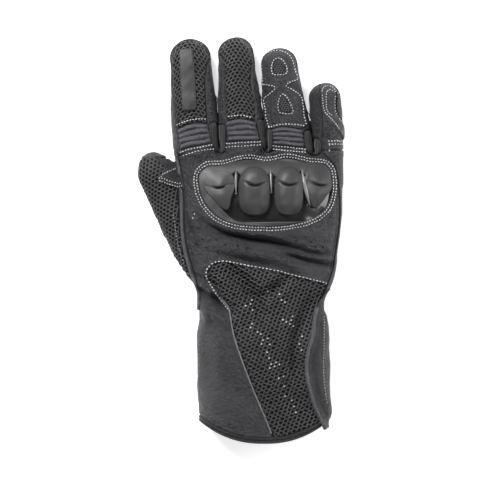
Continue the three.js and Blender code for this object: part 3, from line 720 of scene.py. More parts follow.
def make_piece(name, points, faces, finish, nodes=(), crease=50, edge_wear_and_highlight=None):
    """A finished piece in the row frame, in metres, riding on the glove's one body."""
    mesh = bpy.data.meshes.new(name)
    mesh.vertices.add(len(points))
    mesh.vertices.foreach_set("co", ((points + origin()) * MM).ravel())
    mesh.loops.add(3 * len(faces))
    mesh.loops.foreach_set("vertex_index", faces.ravel().astype(np.int32))
    mesh.polygons.add(len(faces))
    mesh.polygons.foreach_set("loop_start", np.arange(0, 3 * len(faces), 3, dtype=np.int32))
    mesh.update(calc_edges=True)
    mesh.validate()
    mesh.shade_smooth()
    mesh.set_sharp_from_angle(angle=math.radians(crease))
    # The attribute lightens a piece towards its edges: rubbed edges with a painted edge highlight.
    if edge_wear_and_highlight is not None:
        mesh.attributes.new("edge_wear_and_highlight", "FLOAT", "POINT").data.foreach_set("value", edge_wear_and_highlight.astype(np.float32))
    mesh.materials.append(work["finish"][finish])
    piece = bpy.data.objects.new("glove_" + name, mesh)
    bpy.context.scene.collection.objects.link(piece)
    return declare(piece, nodes)


def declare(piece, nodes=()):
    """Says what a piece rides on and which nodes it replaces."""
    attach(piece, "root")
    if nodes:
        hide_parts(*nodes)
    return piece


def solid_piece(name, rings, finish):
    """A piece through rings of points, with no lighter edge of rubbing and painted highlight."""
    points, faces = closed_tube(rings)
    return make_piece(name, points, outward(points, faces), finish, edge_wear_and_highlight=np.zeros(len(points)))


def walled(skin, lift, depth, allowance=0.0):
    """A closed wall: the surface lifted, its underside, and its edges.

    The underside reaches past the edge by the seam allowance, under the next panel."""
    outer = skin.points + skin.normals * np.asarray(lift).reshape(-1, 1)
    inner = skin.points - skin.normals * np.asarray(depth).reshape(-1, 1)
    count = len(outer)
    ways = np.concatenate([skin.faces[:, [0, 1]], skin.faces[:, [1, 2]], skin.faces[:, [2, 0]]])
    key, mirror = ways[:, 0] * count + ways[:, 1], ways[:, 1] * count + ways[:, 0]
    a, b = ways[~np.isin(key, mirror)].T
    if allowance:
        past = np.cross(skin.points[b] - skin.points[a], skin.normals[a])
        past = gather(np.concatenate([a, b]), np.concatenate([past, past]), count)
        edge = np.unique(np.concatenate([a, b]))
        inner[edge] += allowance * unit(past[edge], 1e-9)
    sides = quads(b, a, a + count, b + count)
    faces = np.concatenate([skin.faces, skin.faces[:, ::-1] + count, sides])
    return np.concatenate([outer, inner]), faces


SEAM_ALLOWANCE = 0.55
# How far from an edge the lighter rim reaches: rubbed edges with a painted edge highlight.
EDGE_WEAR_AND_HIGHLIGHT_REACH = 0.7
# How far a panel stands up at distances from its edge, and where its skin is cut finer for
# that. A sewn edge has the groove of its row of stitches.
EDGE_LEVELS = (0.3, 0.75, 1.5)
EDGE_SHAPE = ([0, 0.3, 0.75, 1.5, 4, 9], [-0.95, -0.4, -0.08, 0.1, 0.18, 0.24])
SEWN_LEVELS = (0.3, 0.8, 1.7, 2.5, 3.4)
SEWN_SHAPE = ([0, 0.3, 0.8, 1.7, 2.5, 3.4, 6, 11], [-0.8, -0.25, 0.1, 0.16, -0.2, 0.1, 0.34, 0.42])
COVER_LEVELS = (0.25, 0.6, 1.2, 2.2)


def cut_skin(field, levels=EDGE_LEVELS, finer=0, gap=None):
    """The part of the form where a field is positive, cut cleanly along its edge."""
    form = work["form"]
    gap = sizes().seam_gap / MM if gap is None else gap
    near = (field[form.faces] > -3).any(1)
    holder = Skin(form.points, form.faces, form.normals, {**form.fields, "edge": field - gap / 2})
    skin = holder.part(near)
    for _ in range(finer):
        skin.finer()
    skin.split("edge", 0.0)
    skin = skin.part((skin.fields["edge"][skin.faces] >= -1e-6).all(1)).without_specks()
    for level in levels:
        skin.split("edge", level)
    return skin


def panel(name, field, finish, nodes=(), shape=EDGE_SHAPE, levels=EDGE_LEVELS,
          finer=0, extra=None, depth=None):
    """A sewn panel: a wall whose edges roll down into its seams."""
    skin = cut_skin(field, levels, finer)
    edge = skin.fields["edge"]
    lift = np.interp(edge, *shape)
    if extra is not None:
        lift = lift + extra(skin)
    points, faces = walled(skin, lift, depth or sizes().wall / MM, SEAM_ALLOWANCE)
    # Lighter towards the edge on sides that face up: rubbed edges with a painted edge highlight.
    edge_wear_and_highlight = np.exp(-edge / EDGE_WEAR_AND_HIGHLIGHT_REACH) * np.clip(skin.normals[:, 2] * 2, 0, 1)
    edge_wear_and_highlight = np.concatenate([edge_wear_and_highlight, 0 * edge_wear_and_highlight])
    return make_piece(name, points, faces, finish, nodes or (name,), edge_wear_and_highlight=edge_wear_and_highlight)


def cover(name, outline, base, finish, thick=None, floor=0.0, roll=0.35, finer=1, extra=None):
    """A piece laid on the glove and sewn down: thin at its edge, full inside."""
    thick = thick or sizes().overlay / MM
    field = np.minimum(inside_of(outline), higher_than(floor))
    skin = cut_skin(field, COVER_LEVELS, finer, gap=0)
    edge = skin.fields["edge"]
    shape = ([0, *COVER_LEVELS, 5], [-0.7 * thick, -0.25 * thick, 0, roll, roll * 0.4, 0])
    lift = base + thick + np.interp(edge, *shape)
    if extra is not None:
        lift = np.maximum(lift + extra(skin) * np.clip(edge / 1.5, 0, 1), base + 0.3)
    points, faces = walled(skin, lift, np.full(len(edge), -base))
    # Lighter towards the edge: rubbed edges with a painted edge highlight.
    edge_wear_and_highlight = np.concatenate([np.exp(-edge / EDGE_WEAR_AND_HIGHLIGHT_REACH), 0 * edge])
    return make_piece(name, points, faces, finish, (name,), edge_wear_and_highlight=edge_wear_and_highlight)


# ---------------------------------------------------------------- repeats along lines


def node_tree(name, inputs):
    tree = bpy.data.node_groups.new(name, "GeometryNodeTree")
    tree.interface.new_socket("Geometry", in_out="INPUT", socket_type="NodeSocketGeometry")
    for label, kind in inputs:
        tree.interface.new_socket(label, in_out="INPUT", socket_type=kind)
    tree.interface.new_socket("Geometry", in_out="OUTPUT", socket_type="NodeSocketGeometry")
    return tree, tree.nodes.new("NodeGroupInput"), tree.nodes.new("NodeGroupOutput")


def finish_tree(tree, source, given, out):
    """Ends a tree: smooth faces, no instances left, one material."""
    smooth = tree.nodes.new("GeometryNodeSetShadeSmooth")
    real = tree.nodes.new("GeometryNodeRealizeInstances")
    paint = tree.nodes.new("GeometryNodeSetMaterial")
    tree.links.new(source, real.inputs[0])
    tree.links.new(real.outputs[0], smooth.inputs["Geometry"])
    tree.links.new(smooth.outputs[0], paint.inputs["Geometry"])
    tree.links.new(given.outputs["Material"], paint.inputs["Material"])
    tree.links.new(paint.outputs[0], out.inputs[0])


def preset(node, **values):
    """A node with its inputs set. An underscore in a name stands for a space."""
    for key, value in values.items():
        node.inputs[key.replace("_", " ")].default_value = value
    return node


FLOAT, MATERIAL = "NodeSocketFloat", "NodeSocketMaterial"


def flat_ball(tree, given, segments, height):
    """A ball with the tree's radius, pressed to a height."""
    new, link = tree.nodes.new, tree.links.new
    size, shape = new("ShaderNodeCombineXYZ"), new("GeometryNodeTransform")
    ball = preset(new("GeometryNodeMeshUVSphere"), Segments=segments, Rings=4, Radius=1.0)
    for axis in "XY":
        link(given.outputs["Radius"], size.inputs[axis])
    link(height, size.inputs["Z"])
    link(ball.outputs["Mesh"], shape.inputs["Geometry"])
    link(size.outputs[0], shape.inputs["Scale"])
    return shape.outputs[0]


def random_vector(tree, low, high, seed):
    made = tree.nodes.new("FunctionNodeRandomValue")
    made.data_type = "FLOAT_VECTOR"
    return preset(made, Min=low, Max=high, Seed=seed).outputs[0]


def stitch_tree():
    """Stitches at an even pitch along each line of the mesh."""
    tree, given, out = node_tree(
        "glove_stitches",
        [("Pitch", FLOAT), ("Length", FLOAT), ("Radius", FLOAT), ("Unevenness", FLOAT),
         ("Material", MATERIAL)],
    )
    new, link = tree.nodes.new, tree.links.new
    line, places = new("GeometryNodeMeshToCurve"), new("GeometryNodeCurveToPoints")
    places.mode = "LENGTH"
    half, jitter = new("ShaderNodeMath"), new("ShaderNodeVectorMath")
    half.operation, half.inputs[1].default_value = "MULTIPLY", 0.5
    jitter.operation = "SCALE"
    move, each = new("GeometryNodeSetPosition"), new("GeometryNodeInstanceOnPoints")
    turn, spin = new("FunctionNodeEulerToRotation"), new("FunctionNodeRotateRotation")
    link(given.outputs["Geometry"], line.inputs[0])
    link(line.outputs[0], places.inputs["Curve"])
    link(given.outputs["Pitch"], places.inputs["Length"])
    link(given.outputs["Length"], half.inputs[0])
    link(random_vector(tree, (-1,) * 3, (1,) * 3, seed=3), jitter.inputs[0])
    link(given.outputs["Unevenness"], jitter.inputs["Scale"])
    link(places.outputs["Points"], move.inputs["Geometry"])
    link(jitter.outputs[0], move.inputs["Offset"])
    link(move.outputs[0], each.inputs["Points"])
    link(flat_ball(tree, given, 6, half.outputs[0]), each.inputs["Instance"])
    link(random_vector(tree, (0.8, 0.8, 0.7), (1.15,) * 3, seed=5), each.inputs["Scale"])
    link(random_vector(tree, (-0.2,) * 3, (0.2,) * 3, seed=8), turn.inputs[0])
    link(places.outputs["Rotation"], spin.inputs["Rotation"])
    link(turn.outputs[0], spin.inputs["Rotate By"])
    link(spin.outputs[0], each.inputs["Rotation"])
    finish_tree(tree, each.outputs[0], given, out)
    return tree


def strand_tree():
    """A round strand along each edge of the mesh: net, piping and cord."""
    tree, given, out = node_tree(
        "glove_strands", [("Radius", FLOAT), ("Sides", "NodeSocketInt"), ("Material", MATERIAL)]
    )
    new, link = tree.nodes.new, tree.links.new
    line, tube = new("GeometryNodeMeshToCurve"), new("GeometryNodeCurveToMesh")
    ring = new("GeometryNodeCurvePrimitiveCircle")
    link(given.outputs["Geometry"], line.inputs[0])
    link(given.outputs["Radius"], ring.inputs["Radius"])
    link(given.outputs["Sides"], ring.inputs["Resolution"])
    link(line.outputs[0], tube.inputs["Curve"])
    link(ring.outputs[0], tube.inputs["Profile Curve"])
    tube.inputs["Fill Caps"].default_value = True
    finish_tree(tree, tube.outputs[0], given, out)
    return tree


def bead_tree():
    """A small flat bead at each point of the mesh: pale beads of painted highlight in the cuff's net, and
    black discs of painted shade where the leather is perforated.
    """
    tree, given, out = node_tree(
        "glove_beads", [("Radius", FLOAT), ("Height", FLOAT), ("Material", MATERIAL)]
    )
    new, link = tree.nodes.new, tree.links.new
    points, each = new("GeometryNodeMeshToPoints"), new("GeometryNodeInstanceOnPoints")
    link(given.outputs["Geometry"], points.inputs["Mesh"])
    link(points.outputs[0], each.inputs["Points"])
    link(flat_ball(tree, given, 8, given.outputs["Height"]), each.inputs["Instance"])
    finish_tree(tree, each.outputs[0], given, out)
    return tree


def run_tree(name, tree, points, edges, inputs):
    """A piece made by a tree from lines or points on the glove."""
    guide = bpy.data.meshes.new(name + "_guide")
    guide.from_pydata(((points + origin()) * MM).tolist(), edges, [])
    holder = bpy.data.objects.new(name + "_guide", guide)
    bpy.context.scene.collection.objects.link(holder)
    modifier = holder.modifiers.new("repeat", "NODES")
    modifier.node_group = tree
    for item in tree.interface.items_tree:
        if item.in_out == "INPUT" and item.name in inputs:
            modifier[item.identifier] = inputs[item.name]
    bpy.context.view_layer.update()
    made = bpy.data.meshes.new_from_object(holder.evaluated_get(bpy.context.evaluated_depsgraph_get()))
    if not made.polygons:
        raise RuntimeError(name + " came out empty")
    bpy.data.objects.remove(holder)
    bpy.data.meshes.remove(guide)
    made.name = name
    piece = bpy.data.objects.new("glove_" + name, made)
    bpy.context.scene.collection.objects.link(piece)
    return declare(piece)


def joined_lines(lines):
    """Points and edges of several lines; each is (points, closed)."""
    points, edges, start = [], [], 0
    for line, closed in lines:
        count = len(line)
        points.append(line)
        edges += [(start + i, start + i + 1) for i in range(count - 1)]
        if closed:
            edges.append((start + count - 1, start))
        start += count
    return np.concatenate(points), edges


def stitches(name, lines, finish="thread", pitch=1.0, thread=1.0):
    s = sizes()
    points, edges = joined_lines(lines)
    inputs = {
        "Pitch": s.stitch_pitch * pitch,
        "Length": s.stitch_length * pitch,
        "Radius": s.thread * thread,
        "Unevenness": 0.14 * MM,
        "Material": work["finish"][finish],
    }
    return run_tree(name, work["stitches"], points, edges, inputs)


def cords(name, lines, radius, finish, sides=8):
    """Round cords along open lines."""
    points, edges = joined_lines([(line, False) for line in lines])
    inputs = {"Radius": radius * MM, "Sides": sides, "Material": work["finish"][finish]}
    return run_tree(name, work["strands"], points, edges, inputs)


def net(name, points, edges, strand):
    """Strands of the mesh cloth along the edges of a lattice."""
    inputs = {"Radius": strand, "Sides": 6, "Material": work["finish"]["cloth"]}
    return run_tree(name, work["strands"], points, edges, inputs)


def beads(name, points, radius, height, finish):
    inputs = {"Radius": radius * MM, "Height": height * MM, "Material": work["finish"][finish]}
    return run_tree(name, work["beads"], points, [], inputs)


NET_DEPTH = -0.35  # the strands lie in the surface, not on it
CELL_SWAY = 0.17  # how far a cell's corners stand up and down, as a share of the rows' step
BOW_START = 3  # half-width of the middle in which a bowed row stays flat, in millimetres


def lattice(outline, plan, rows_at, pitch, half, within, margin, tall=1.0, holes=(), bow=0.0,
            flat=False, loose=0.0):
    """A honeycomb of strands on the upper side, laid out along the surface.

    plan(u, v) gives a place on the plan, and u runs over plus and minus half(v). Rows bow
    down at their sides, and on a flat piece u is the distance itself. Only what lies inside
    the outline by the margin, within(u, v) and outside the holes is kept.
    """
    chance = np.random.default_rng(7)
    step = np.median(np.diff(rows_at))
    numbers, keep, every = [], [], []
    for j, v in enumerate(rows_at):
        reach = half(v)
        u = np.linspace(-reach, reach, 40)
        if flat:
            run = u
        else:
            places, _ = on_top(plan(u, np.full_like(u, min(v, rows_at[-1]))))
            run = np.concatenate([[0], np.cumsum(np.linalg.norm(np.diff(places, axis=0), axis=1))])
            run -= np.interp(0.0, u, run)
        count = int(max(-run[0], run[-1]) / (pitch / 2)) + 1
        i = np.arange(-count, count + 1)
        s = i * pitch / 2
        up = np.where((i + j) % 2 == 0, 1, -1) * step * CELL_SWAY * tall
        up = up - bow * (np.sqrt(s * s + BOW_START**2) - BOW_START)
        spot, high = np.interp(s, run, u), v + up
        numbers.append(i)
        keep.append((s > run[0]) & (s < run[-1]) & within(spot, high))
        every.append(plan(spot, high) + chance.normal(size=(len(i), 2)) * loose)
    flat_list, good = np.concatenate(every), np.concatenate(keep)
    inside = plan_distance(flat_list, outline)[0]
    for hole in holes:
        inside = np.minimum(inside, -plan_distance(flat_list, hole)[0])
    points, index, pairs, at = [], {}, [], 0
    for j, i in enumerate(numbers):
        for k in range(len(i)):
            if good[at + k] and inside[at + k] > margin:
                index[(j, int(i[k]))] = len(points)
                points.append(flat_list[at + k])
        at += len(i)
    for (j, i), p in index.items():
        if (j, i + 1) in index:
            pairs.append((p, index[(j, i + 1)]))
        if (i + j) % 2 == 0 and (j + 1, i) in index:
            pairs.append((p, index[(j + 1, i)]))
    places, normals = on_top(points)
    return places + normals * NET_DEPTH, pairs


# ---------------------------------------------------------------- finishes


class Finish:
    """A material's nodes, read from the object's own coordinates."""

    def __init__(self, name, roughness, **sockets):
        self.material = bpy.data.materials.new(name)
        self.material.use_nodes = True
        self.tree = self.material.node_tree
        self.shader = preset(self.tree.nodes["Principled BSDF"], Roughness=roughness, **sockets)
        self.place = self.node("ShaderNodeTexCoord").outputs["Object"]

    def node(self, kind, **settings):
        made = self.tree.nodes.new(kind)
        for key, value in settings.items():
            setattr(made, key, value)
        return made

    def link(self, source, target):
        self.tree.links.new(source, target)

    def noise(self, scale, detail=3.0, stretch=None):
        made = preset(self.node("ShaderNodeTexNoise"), Scale=scale, Detail=detail)
        place = self.place
        if stretch is not None:
            turn = preset(self.node("ShaderNodeMapping"), Scale=stretch)
            self.link(place, turn.inputs["Vector"])
            place = turn.outputs[0]
        self.link(place, made.inputs["Vector"])
        return made.outputs["Fac"]

    def cells(self, scale):
        """Distance to the cracks between irregular cells."""
        made = preset(self.node("ShaderNodeTexVoronoi", feature="DISTANCE_TO_EDGE"), Scale=scale)
        bent = self.node("ShaderNodeVectorMath", operation="ADD")
        wobble = preset(self.node("ShaderNodeTexNoise"), Scale=scale * 0.8)
        small = preset(self.node("ShaderNodeVectorMath", operation="SCALE"), Scale=0.5 / scale)
        self.link(self.place, wobble.inputs["Vector"])
        self.link(wobble.outputs["Color"], small.inputs[0])
        self.link(self.place, bent.inputs[0])
        self.link(small.outputs[0], bent.inputs[1])
        self.link(bent.outputs[0], made.inputs["Vector"])
        return made.outputs["Distance"]

    def ramp(self, value, low, high, start=0.0, end=1.0):
        made = preset(self.node("ShaderNodeMapRange"), From_Min=start, From_Max=end, To_Min=low, To_Max=high)
        self.link(value, made.inputs["Value"])
        return made.outputs["Result"]

    def sum(self, *values):
        total = values[0]
        for value in values[1:]:
            add = self.node("ShaderNodeMath", operation="ADD")
            self.link(total, add.inputs[0])
            self.link(value, add.inputs[1])
            total = add.outputs[0]
        return total

    def blend(self, share, first, second):
        """Mixes two colours, each a colour or a socket."""
        made = self.node("ShaderNodeMix", data_type="RGBA")
        for socket, item in ((made.inputs[6], first), (made.inputs[7], second)):
            if isinstance(item, tuple):
                socket.default_value = item
            else:
                self.link(item, socket)
        self.link(share, made.inputs[0])
        return made.outputs[2]

    def attribute(self, name):
        made = self.node("ShaderNodeAttribute")
        made.attribute_name = name
        return made.outputs["Fac"]

    def done(self, colour, height=None, strength=0.3, distance=0.0004, roughness=None):
        self.link(colour, self.shader.inputs["Base Color"])
        if roughness is not None:
            self.link(roughness, self.shader.inputs["Roughness"])
        if height is not None:
            bump = preset(self.node("ShaderNodeBump"), Strength=strength, Distance=distance)
            self.link(height, bump.inputs["Height"])
            self.link(bump.outputs[0], self.shader.inputs["Normal"])
        return self.material


def shade(colour, share):
    return tuple(min(1.0, c * share) for c in colour) + (1.0,)


def leather_finish(name, colour, roughness=0.41, grain=1.0, strength=0.8, edge_wear_and_highlight=1.9):
    f = Finish(name, roughness, Specular_IOR_Level=0.42)
    grain = sizes().grain * grain
    cracks = f.ramp(f.cells(grain), 0.0, 1.0, 0.0, 0.16)
    wrinkles = f.noise(grain * 0.5, 4.0)
    pores = f.noise(grain * 2.4, 2.0)
    mottled = f.sum(f.ramp(f.noise(38.0, 4.0), 0, 0.45, 0.3, 0.7), f.ramp(wrinkles, 0, 0.55, 0.34, 0.66))
    tone = f.blend(mottled, shade(colour, 0.66), shade(colour, 1.42))
    tone = f.blend(f.ramp(cracks, 0.42, 0.0), tone, shade(colour, 0.45))
    # Lighter at each panel's rim: rubbed edges with a painted edge highlight.
    tone = f.blend(f.ramp(f.attribute("edge_wear_and_highlight"), 0.0, 0.55), tone, shade(colour, edge_wear_and_highlight))
    height = f.sum(f.ramp(cracks, 0, 0.5), f.ramp(wrinkles, 0, 2.2), f.ramp(pores, 0, 0.2))
    uneven = f.ramp(wrinkles, roughness - 0.1, roughness + 0.12, 0.3, 0.7)
    return f.done(tone, height, strength, 0.0019, uneven)


def cloth_finish(name, colour, scale=1500.0, roughness=0.75, strength=0.5):
    f = Finish(name, roughness, Sheen_Weight=0.12, Sheen_Roughness=0.4)
    fibres = f.noise(scale, 3.0, (1.0, 2.6, 1.0))
    tone = f.blend(f.ramp(fibres, 0, 1, 0.3, 0.7), shade(colour, 0.7), shade(colour, 1.35))
    return f.done(tone, fibres, strength, 0.0003)


def knit_finish(name, colour):
    f = Finish(name, 0.85, Sheen_Weight=0.15)
    rib = f.node("ShaderNodeTexWave", wave_type="BANDS", bands_direction="X")
    preset(rib, Scale=180.0, Distortion=1.2)
    f.link(f.place, rib.inputs["Vector"])
    tone = f.blend(rib.outputs["Fac"], shade(colour, 0.75), shade(colour, 1.25))
    return f.done(tone, f.sum(rib.outputs["Fac"], f.ramp(f.noise(1800), 0, 0.5)), 0.7, 0.0005)


def plastic_finish(name, colour, roughness, coat=0.0, texture=0.12):
    f = Finish(name, roughness, Coat_Weight=coat, Coat_Roughness=0.05)
    fine = f.noise(2200.0, 2.0)
    tone = f.blend(f.noise(60.0, 3.0), shade(colour, 0.88), shade(colour, 1.12))
    # Lighter at the edges: rubbed edges with a painted edge highlight.
    tone = f.blend(f.ramp(f.attribute("edge_wear_and_highlight"), 0.0, 0.4), tone, shade(colour, 1.7))
    spread = roughness * 0.18
    uneven = f.ramp(f.noise(90.0), roughness - spread, roughness + spread)
    return f.done(tone, fine, texture, 0.0002, uneven)


def thread_finish(name, colour):
    f = Finish(name, 0.6, Sheen_Weight=0.2)
    twist = f.noise(2600.0, 2.0, (1.0, 1.0, 2.0))
    tone = f.blend(f.ramp(twist, 0, 1, 0.35, 0.65), shade(colour, 0.72), shade(colour, 1.1))
    return f.done(tone, twist, 0.5, 0.0002)


# ---------------------------------------------------------------- the steps


class Step:
    """What the glove's operators have in common."""

    bl_options = {"REGISTER", "UNDO"}

    def execute(self, context):
        self.make()
        return {"FINISHED"}


class GLOVE_OT_finishes(Step, bpy.types.Operator):
    """Makes the leathers, cloths, plastics and threads"""

    bl_idname = "glove.finishes"
    bl_label = "Finishes"

    def make(self):
        c = colours()
        work["finish"] = {
            "leather": leather_finish("grained leather", c.leather),
            # A lighter copy of the grained leather: the lift in colour is painted sheen on the ribs and a
            # painted highlight on the rolled edges.
            "stretch": leather_finish("stretch leather", shade(c.leather, 1.75)[:3], 0.4, 1.2, 0.5, 1.3),
            "dark_leather": leather_finish("dark leather", c.dark_leather, 0.52),
            "light_leather": leather_finish("light leather", c.light_leather, 0.45, 1.3, 0.3, 1.3),
            "cloth": cloth_finish("mesh cloth", c.cloth, roughness=0.42),
            "backing_and_painted_shade": cloth_finish("black backing", c.backing_and_painted_shade, 900, 0.95, 0.3),
            # Pale beads in the cuff's net: painted highlights on its crossings.
            "painted_highlight_dots": cloth_finish("pale knots", c.painted_highlight_dots, 2400, 0.8),
            "knit": knit_finish("gusset knit", c.knit),
            "satin": plastic_finish("satin plastic", c.satin, 0.52),
            # A pale copy of the satin plastic: a painted reflection in the guard's grooves.
            "painted_reflection": plastic_finish("reflection_painted ridges", shade(c.satin, 6.5)[:3], 0.3, coat=0.4, texture=0.02),
            "gloss": plastic_finish("gloss plastic", c.gloss, 0.27, coat=0.5, texture=0.02),
            "patch": plastic_finish("smooth patch", c.patch, 0.5, texture=0.2),
            "thread": thread_finish("pale thread", c.thread),
            # A darker copy of the pale thread: painted shade on the faint rows.
            "shaded_thread": thread_finish("shadowed thread", shade(c.thread, 0.5)[:3]),
        }
        work["stitches"], work["strands"], work["beads"] = stitch_tree(), strand_tree(), bead_tree()


class Cloth:
    """What is left of a part of the form while pieces are cut from it."""

    def __init__(self, field):
        self.field = field

    def cut(self, region):
        piece = np.minimum(self.field, region)
        self.field = np.minimum(self.field, -region)
        return piece


class GLOVE_OT_form(Step, bpy.types.Operator):
    """Shapes the glove's outside, from which the panels are cut"""

    bl_idname = "glove.form"
    bl_label = "Form"

    def make(self):
        make_form()
        form = work["form"]
        work["hand"] = Cloth(np.full(len(form.points), FAR))
        along = form.points[:, 1] / HAND_LENGTH
        work["seam"] = higher_than(smooth_column("height", along) * SEAM_SHARE)


def hem_height(x):
    """Where the hem runs on the plan: lowest in the middle."""
    return HEM_RISE * np.minimum(np.abs((x - CUFF_MIDDLE) / CUFF_HALF), 1.03) ** 2.3


# The binding's section, along the glove and outwards: two rolls side by side, folded over to
# the inside.
BINDING = [
    (0.1, -1.6), (-0.15, -0.4), (0.2, 0.55), (1.0, 1.05), (1.75, 0.7), (2.15, 0.15), (2.6, 0.6),
    (3.3, 0.95), (4.1, 0.6), (4.6, -0.3), (4.6, -1.9), (3.6, -2.5), (2.0, -2.6), (0.7, -2.4),
]


class GLOVE_OT_hem(Step, bpy.types.Operator):
    """Rolls the binding round the mouth of the cuff"""

    bl_idname = "glove.hem"
    bl_label = "Hem"

    def make(self):
        form = work["form"]
        slope = 0.6 * np.abs(form.points[:, 0]) / (CUFF_WIDTH / 2)
        above = form.points[:, 1] - hem_height(form.points[:, 0]) - BINDING_WIDTH
        work["hand"].cut(-(above / np.sqrt(1 + slope**2)))
        across, z = section(160, CUFF_HALF, CUFF_HEIGHT * SEAM_SHARE, CUFF_HEIGHT, 0)
        x = across + CUFF_MIDDLE
        ring = np.stack([x, hem_height(x), z], 1)
        side = np.roll(ring, -1, 0) - np.roll(ring, 1, 0)
        out = unit(np.stack([side[:, 2], 0 * x, -side[:, 0]], 1))
        for _ in range(3):
            out = (np.roll(out, 1, 0) + 2 * out + np.roll(out, -1, 0)) / 4
        rings = []
        for along, lift in rounded(BINDING, 3):
            points = ring + out * lift + np.array([0, along, 0])
            points[:, 2] = np.maximum(points[:, 2], 0.0)
            rings.append(points)
        count, sides = len(rings), len(ring)
        i = np.arange(sides)
        j = (i + 1) % sides
        faces = []
        for r in range(count):
            here, after = r * sides, (r + 1) % count * sides
            faces.append(quads(here + i, here + j, after + j, after + i))
        points = np.concatenate(rings)
        faces = outward(points, np.concatenate(faces))
        nodes = ("hem_binding",)
        make_piece("hem_binding", points, faces, "dark_leather", nodes, crease=80)


# The knit between two fingers, in millimetres from the middle of the crotch.
GUSSETS = [
    [
        (-8.7, 19.5), (-7.2, 21.3), (-2.3, 22.3), (-1.7, 20.4), (1.8, 21), (3.9, 19.1), (4.2, 9),
        (4.1, 1.5), (2.2, -0.5), (-0.4, -0.6), (-3, 0.8), (-5.4, 6.4), (-7.5, 14.2),
    ],
    [
        (-7.4, 22.5), (-6.1, 24.3), (-3.8, 24.8), (-1.6, 22.9), (-1, 18.4), (2.2, 17), (3.9, 15.4),
        (4.1, 3), (2.5, 0.4), (0.3, -0.4), (-2.3, 1.9), (-5.1, 12),
    ],
    [
        (-7.9, 14.2), (-6.6, 15.9), (-4, 16.1), (-2.1, 13.5), (-1.4, 10.5), (0.9, 9.8), (3.9, 7.9), (5, 3),
        (3.9, -1.1), (0.5, -2.6), (-3.3, -1.5), (-6.6, 1.5), (-7.8, 7.5),
    ],
]
SLITS = [
    [(-1.8, 25.5), (-1.7, 16.5), (-1.4, 10.5), (-0.3, 3.4)],
    [(-0.8, 21), (-0.6, 12.8), (0.3, 3)],
    [(-1.5, 12.8), (-1.2, 6.8), (-0.4, 0.8)],
]
WEB_REACHES = (30.0, 29.0, 24.0)


class GLOVE_OT_gussets(Step, bpy.types.Operator):
    """Sets black knit in the crotches of the fingers"""

    bl_idname = "glove.gussets"
    bl_label = "Gussets"

    def web(self, left, right, crotch, reach):
        """The knit deep between two fingers, in sections of half-width and two heights."""
        lean = math.radians((DIGITS[left]["lean"] + DIGITS[right]["lean"]) / 2)
        sections = ((-9, 3.2, 3, 17), (0, 2.8, 3, 16), (10, 2.2, 3.5, 14.5), (0.85 * reach, 1.5, 4, 12),
                    (reach, 0.5, 6, 9))
        rings = []
        for along, wide, low, high in sections:
            x = crotch[0] - along * math.sin(lean) + wide * np.cos(ROUND)
            z = (low + high) / 2 + (high - low) / 2 * np.sin(ROUND)
            rings.append(np.stack([x, np.full_like(x, crotch[1] + along), z], 1))
        solid_piece(f"web_{left}_{right}", rings, "knit")

    def make(self):
        names = list(FINGERS)
        for left, right, outline, slit, reach in zip(names, names[1:], GUSSETS, SLITS, WEB_REACHES):
            middle = DIGITS[left]["root"][0] + (DIGITS[left]["width"] + FINGER_GAP) / 2
            crotch = np.array([middle, HAND_LENGTH])
            line = rounded(np.array(slit) + crotch, 4, closed=False)

            def pads(skin):
                """Two soft pads of knit with a deep slit between them."""
                away, _ = line_distance(skin.points[:, :2], line)
                return 0.6 * np.clip(away / 2.5, 0, 1) - 3.0 * np.exp(-((away / 0.6) ** 2))

            self.web(left, right, crotch, reach)
            field = work["hand"].cut(inside_of(rounded(np.array(outline) + crotch, 2)))
            shape = ([0, 0.4, 1.0, 2.5], [-1.1, -0.4, 0.0, 0.3])
            panel(f"gusset_{left}_{right}", field, "knit", shape=shape, levels=(0.4, 1.0),
                  finer=1, extra=pads, depth=7.5)


def finger_region(name, seam_left, seam_right):
    """A finger's part of the form, from the seam at its foot to its tip."""
    d, points = DIGITS[name], work["form"].points
    outside = {}
    for other, e in FINGERS.items():
        u, v = digit_axes(e, points)
        outside[other] = np.abs(u) - digit_half(e, v)
    u, v = digit_axes(d, points)
    across = np.clip(u / digit_half(d, v), -1, 1)
    region = v - d["length"] * (seam_left + (seam_right - seam_left) * (across + 1) / 2)
    for other, value in outside.items():
        if other != name:
            region = np.minimum(region, (value - outside[name]) / 2)
    return region


def on_back(name, outline):
    """The region of a digit's back inside an outline."""
    return np.minimum(inside_of(outline), higher_than(digit_middle(name)))


def digit_lattice(name, outline, start, end, holes=(), pitch=1.0, margin=0.5, bow=0.45):
    """A lattice from one share of a digit's length to another, narrower where it closes."""
    d = DIGITS[name]
    length, cap = d["length"] + d["spare"], d["cap"] * d["width"]
    width = sizes().cloth_pitch / MM * pitch
    inner = 0.985

    def reach(v):
        closing = np.clip((v - length + cap) / cap, 0, inner)
        return digit_half(d, v) * inner * np.sqrt(1 - closing**2)

    rows_at = np.arange(start * d["length"], end * d["length"] + 0.6 * bow * d["width"], width * 0.74)
    return lattice(
        outline, lambda u, v: digit_place(d, u, v), rows_at, width, holes=holes, margin=margin, bow=bow,
        half=lambda v: float(reach(min(v, length - cap))),
        within=lambda u, v: (v < inner * length) & (np.abs(u) < reach(v)),
    )


def mesh_back(digit, field, outline, start, end=1.0, holes=(), pitch=1.0, bow=0.45):
    """Open mesh over a black backing."""
    shape = ([0, 2], [-1.0, -1.0])
    panel(digit + "_mesh", field, "backing_and_painted_shade", shape=shape, levels=(), depth=1.8)
    points, edges = digit_lattice(digit, outline, start, end, holes, pitch, bow=bow)
    net(digit + "_net", points, edges, sizes().cloth_strand)


RIB_COUNT = 4


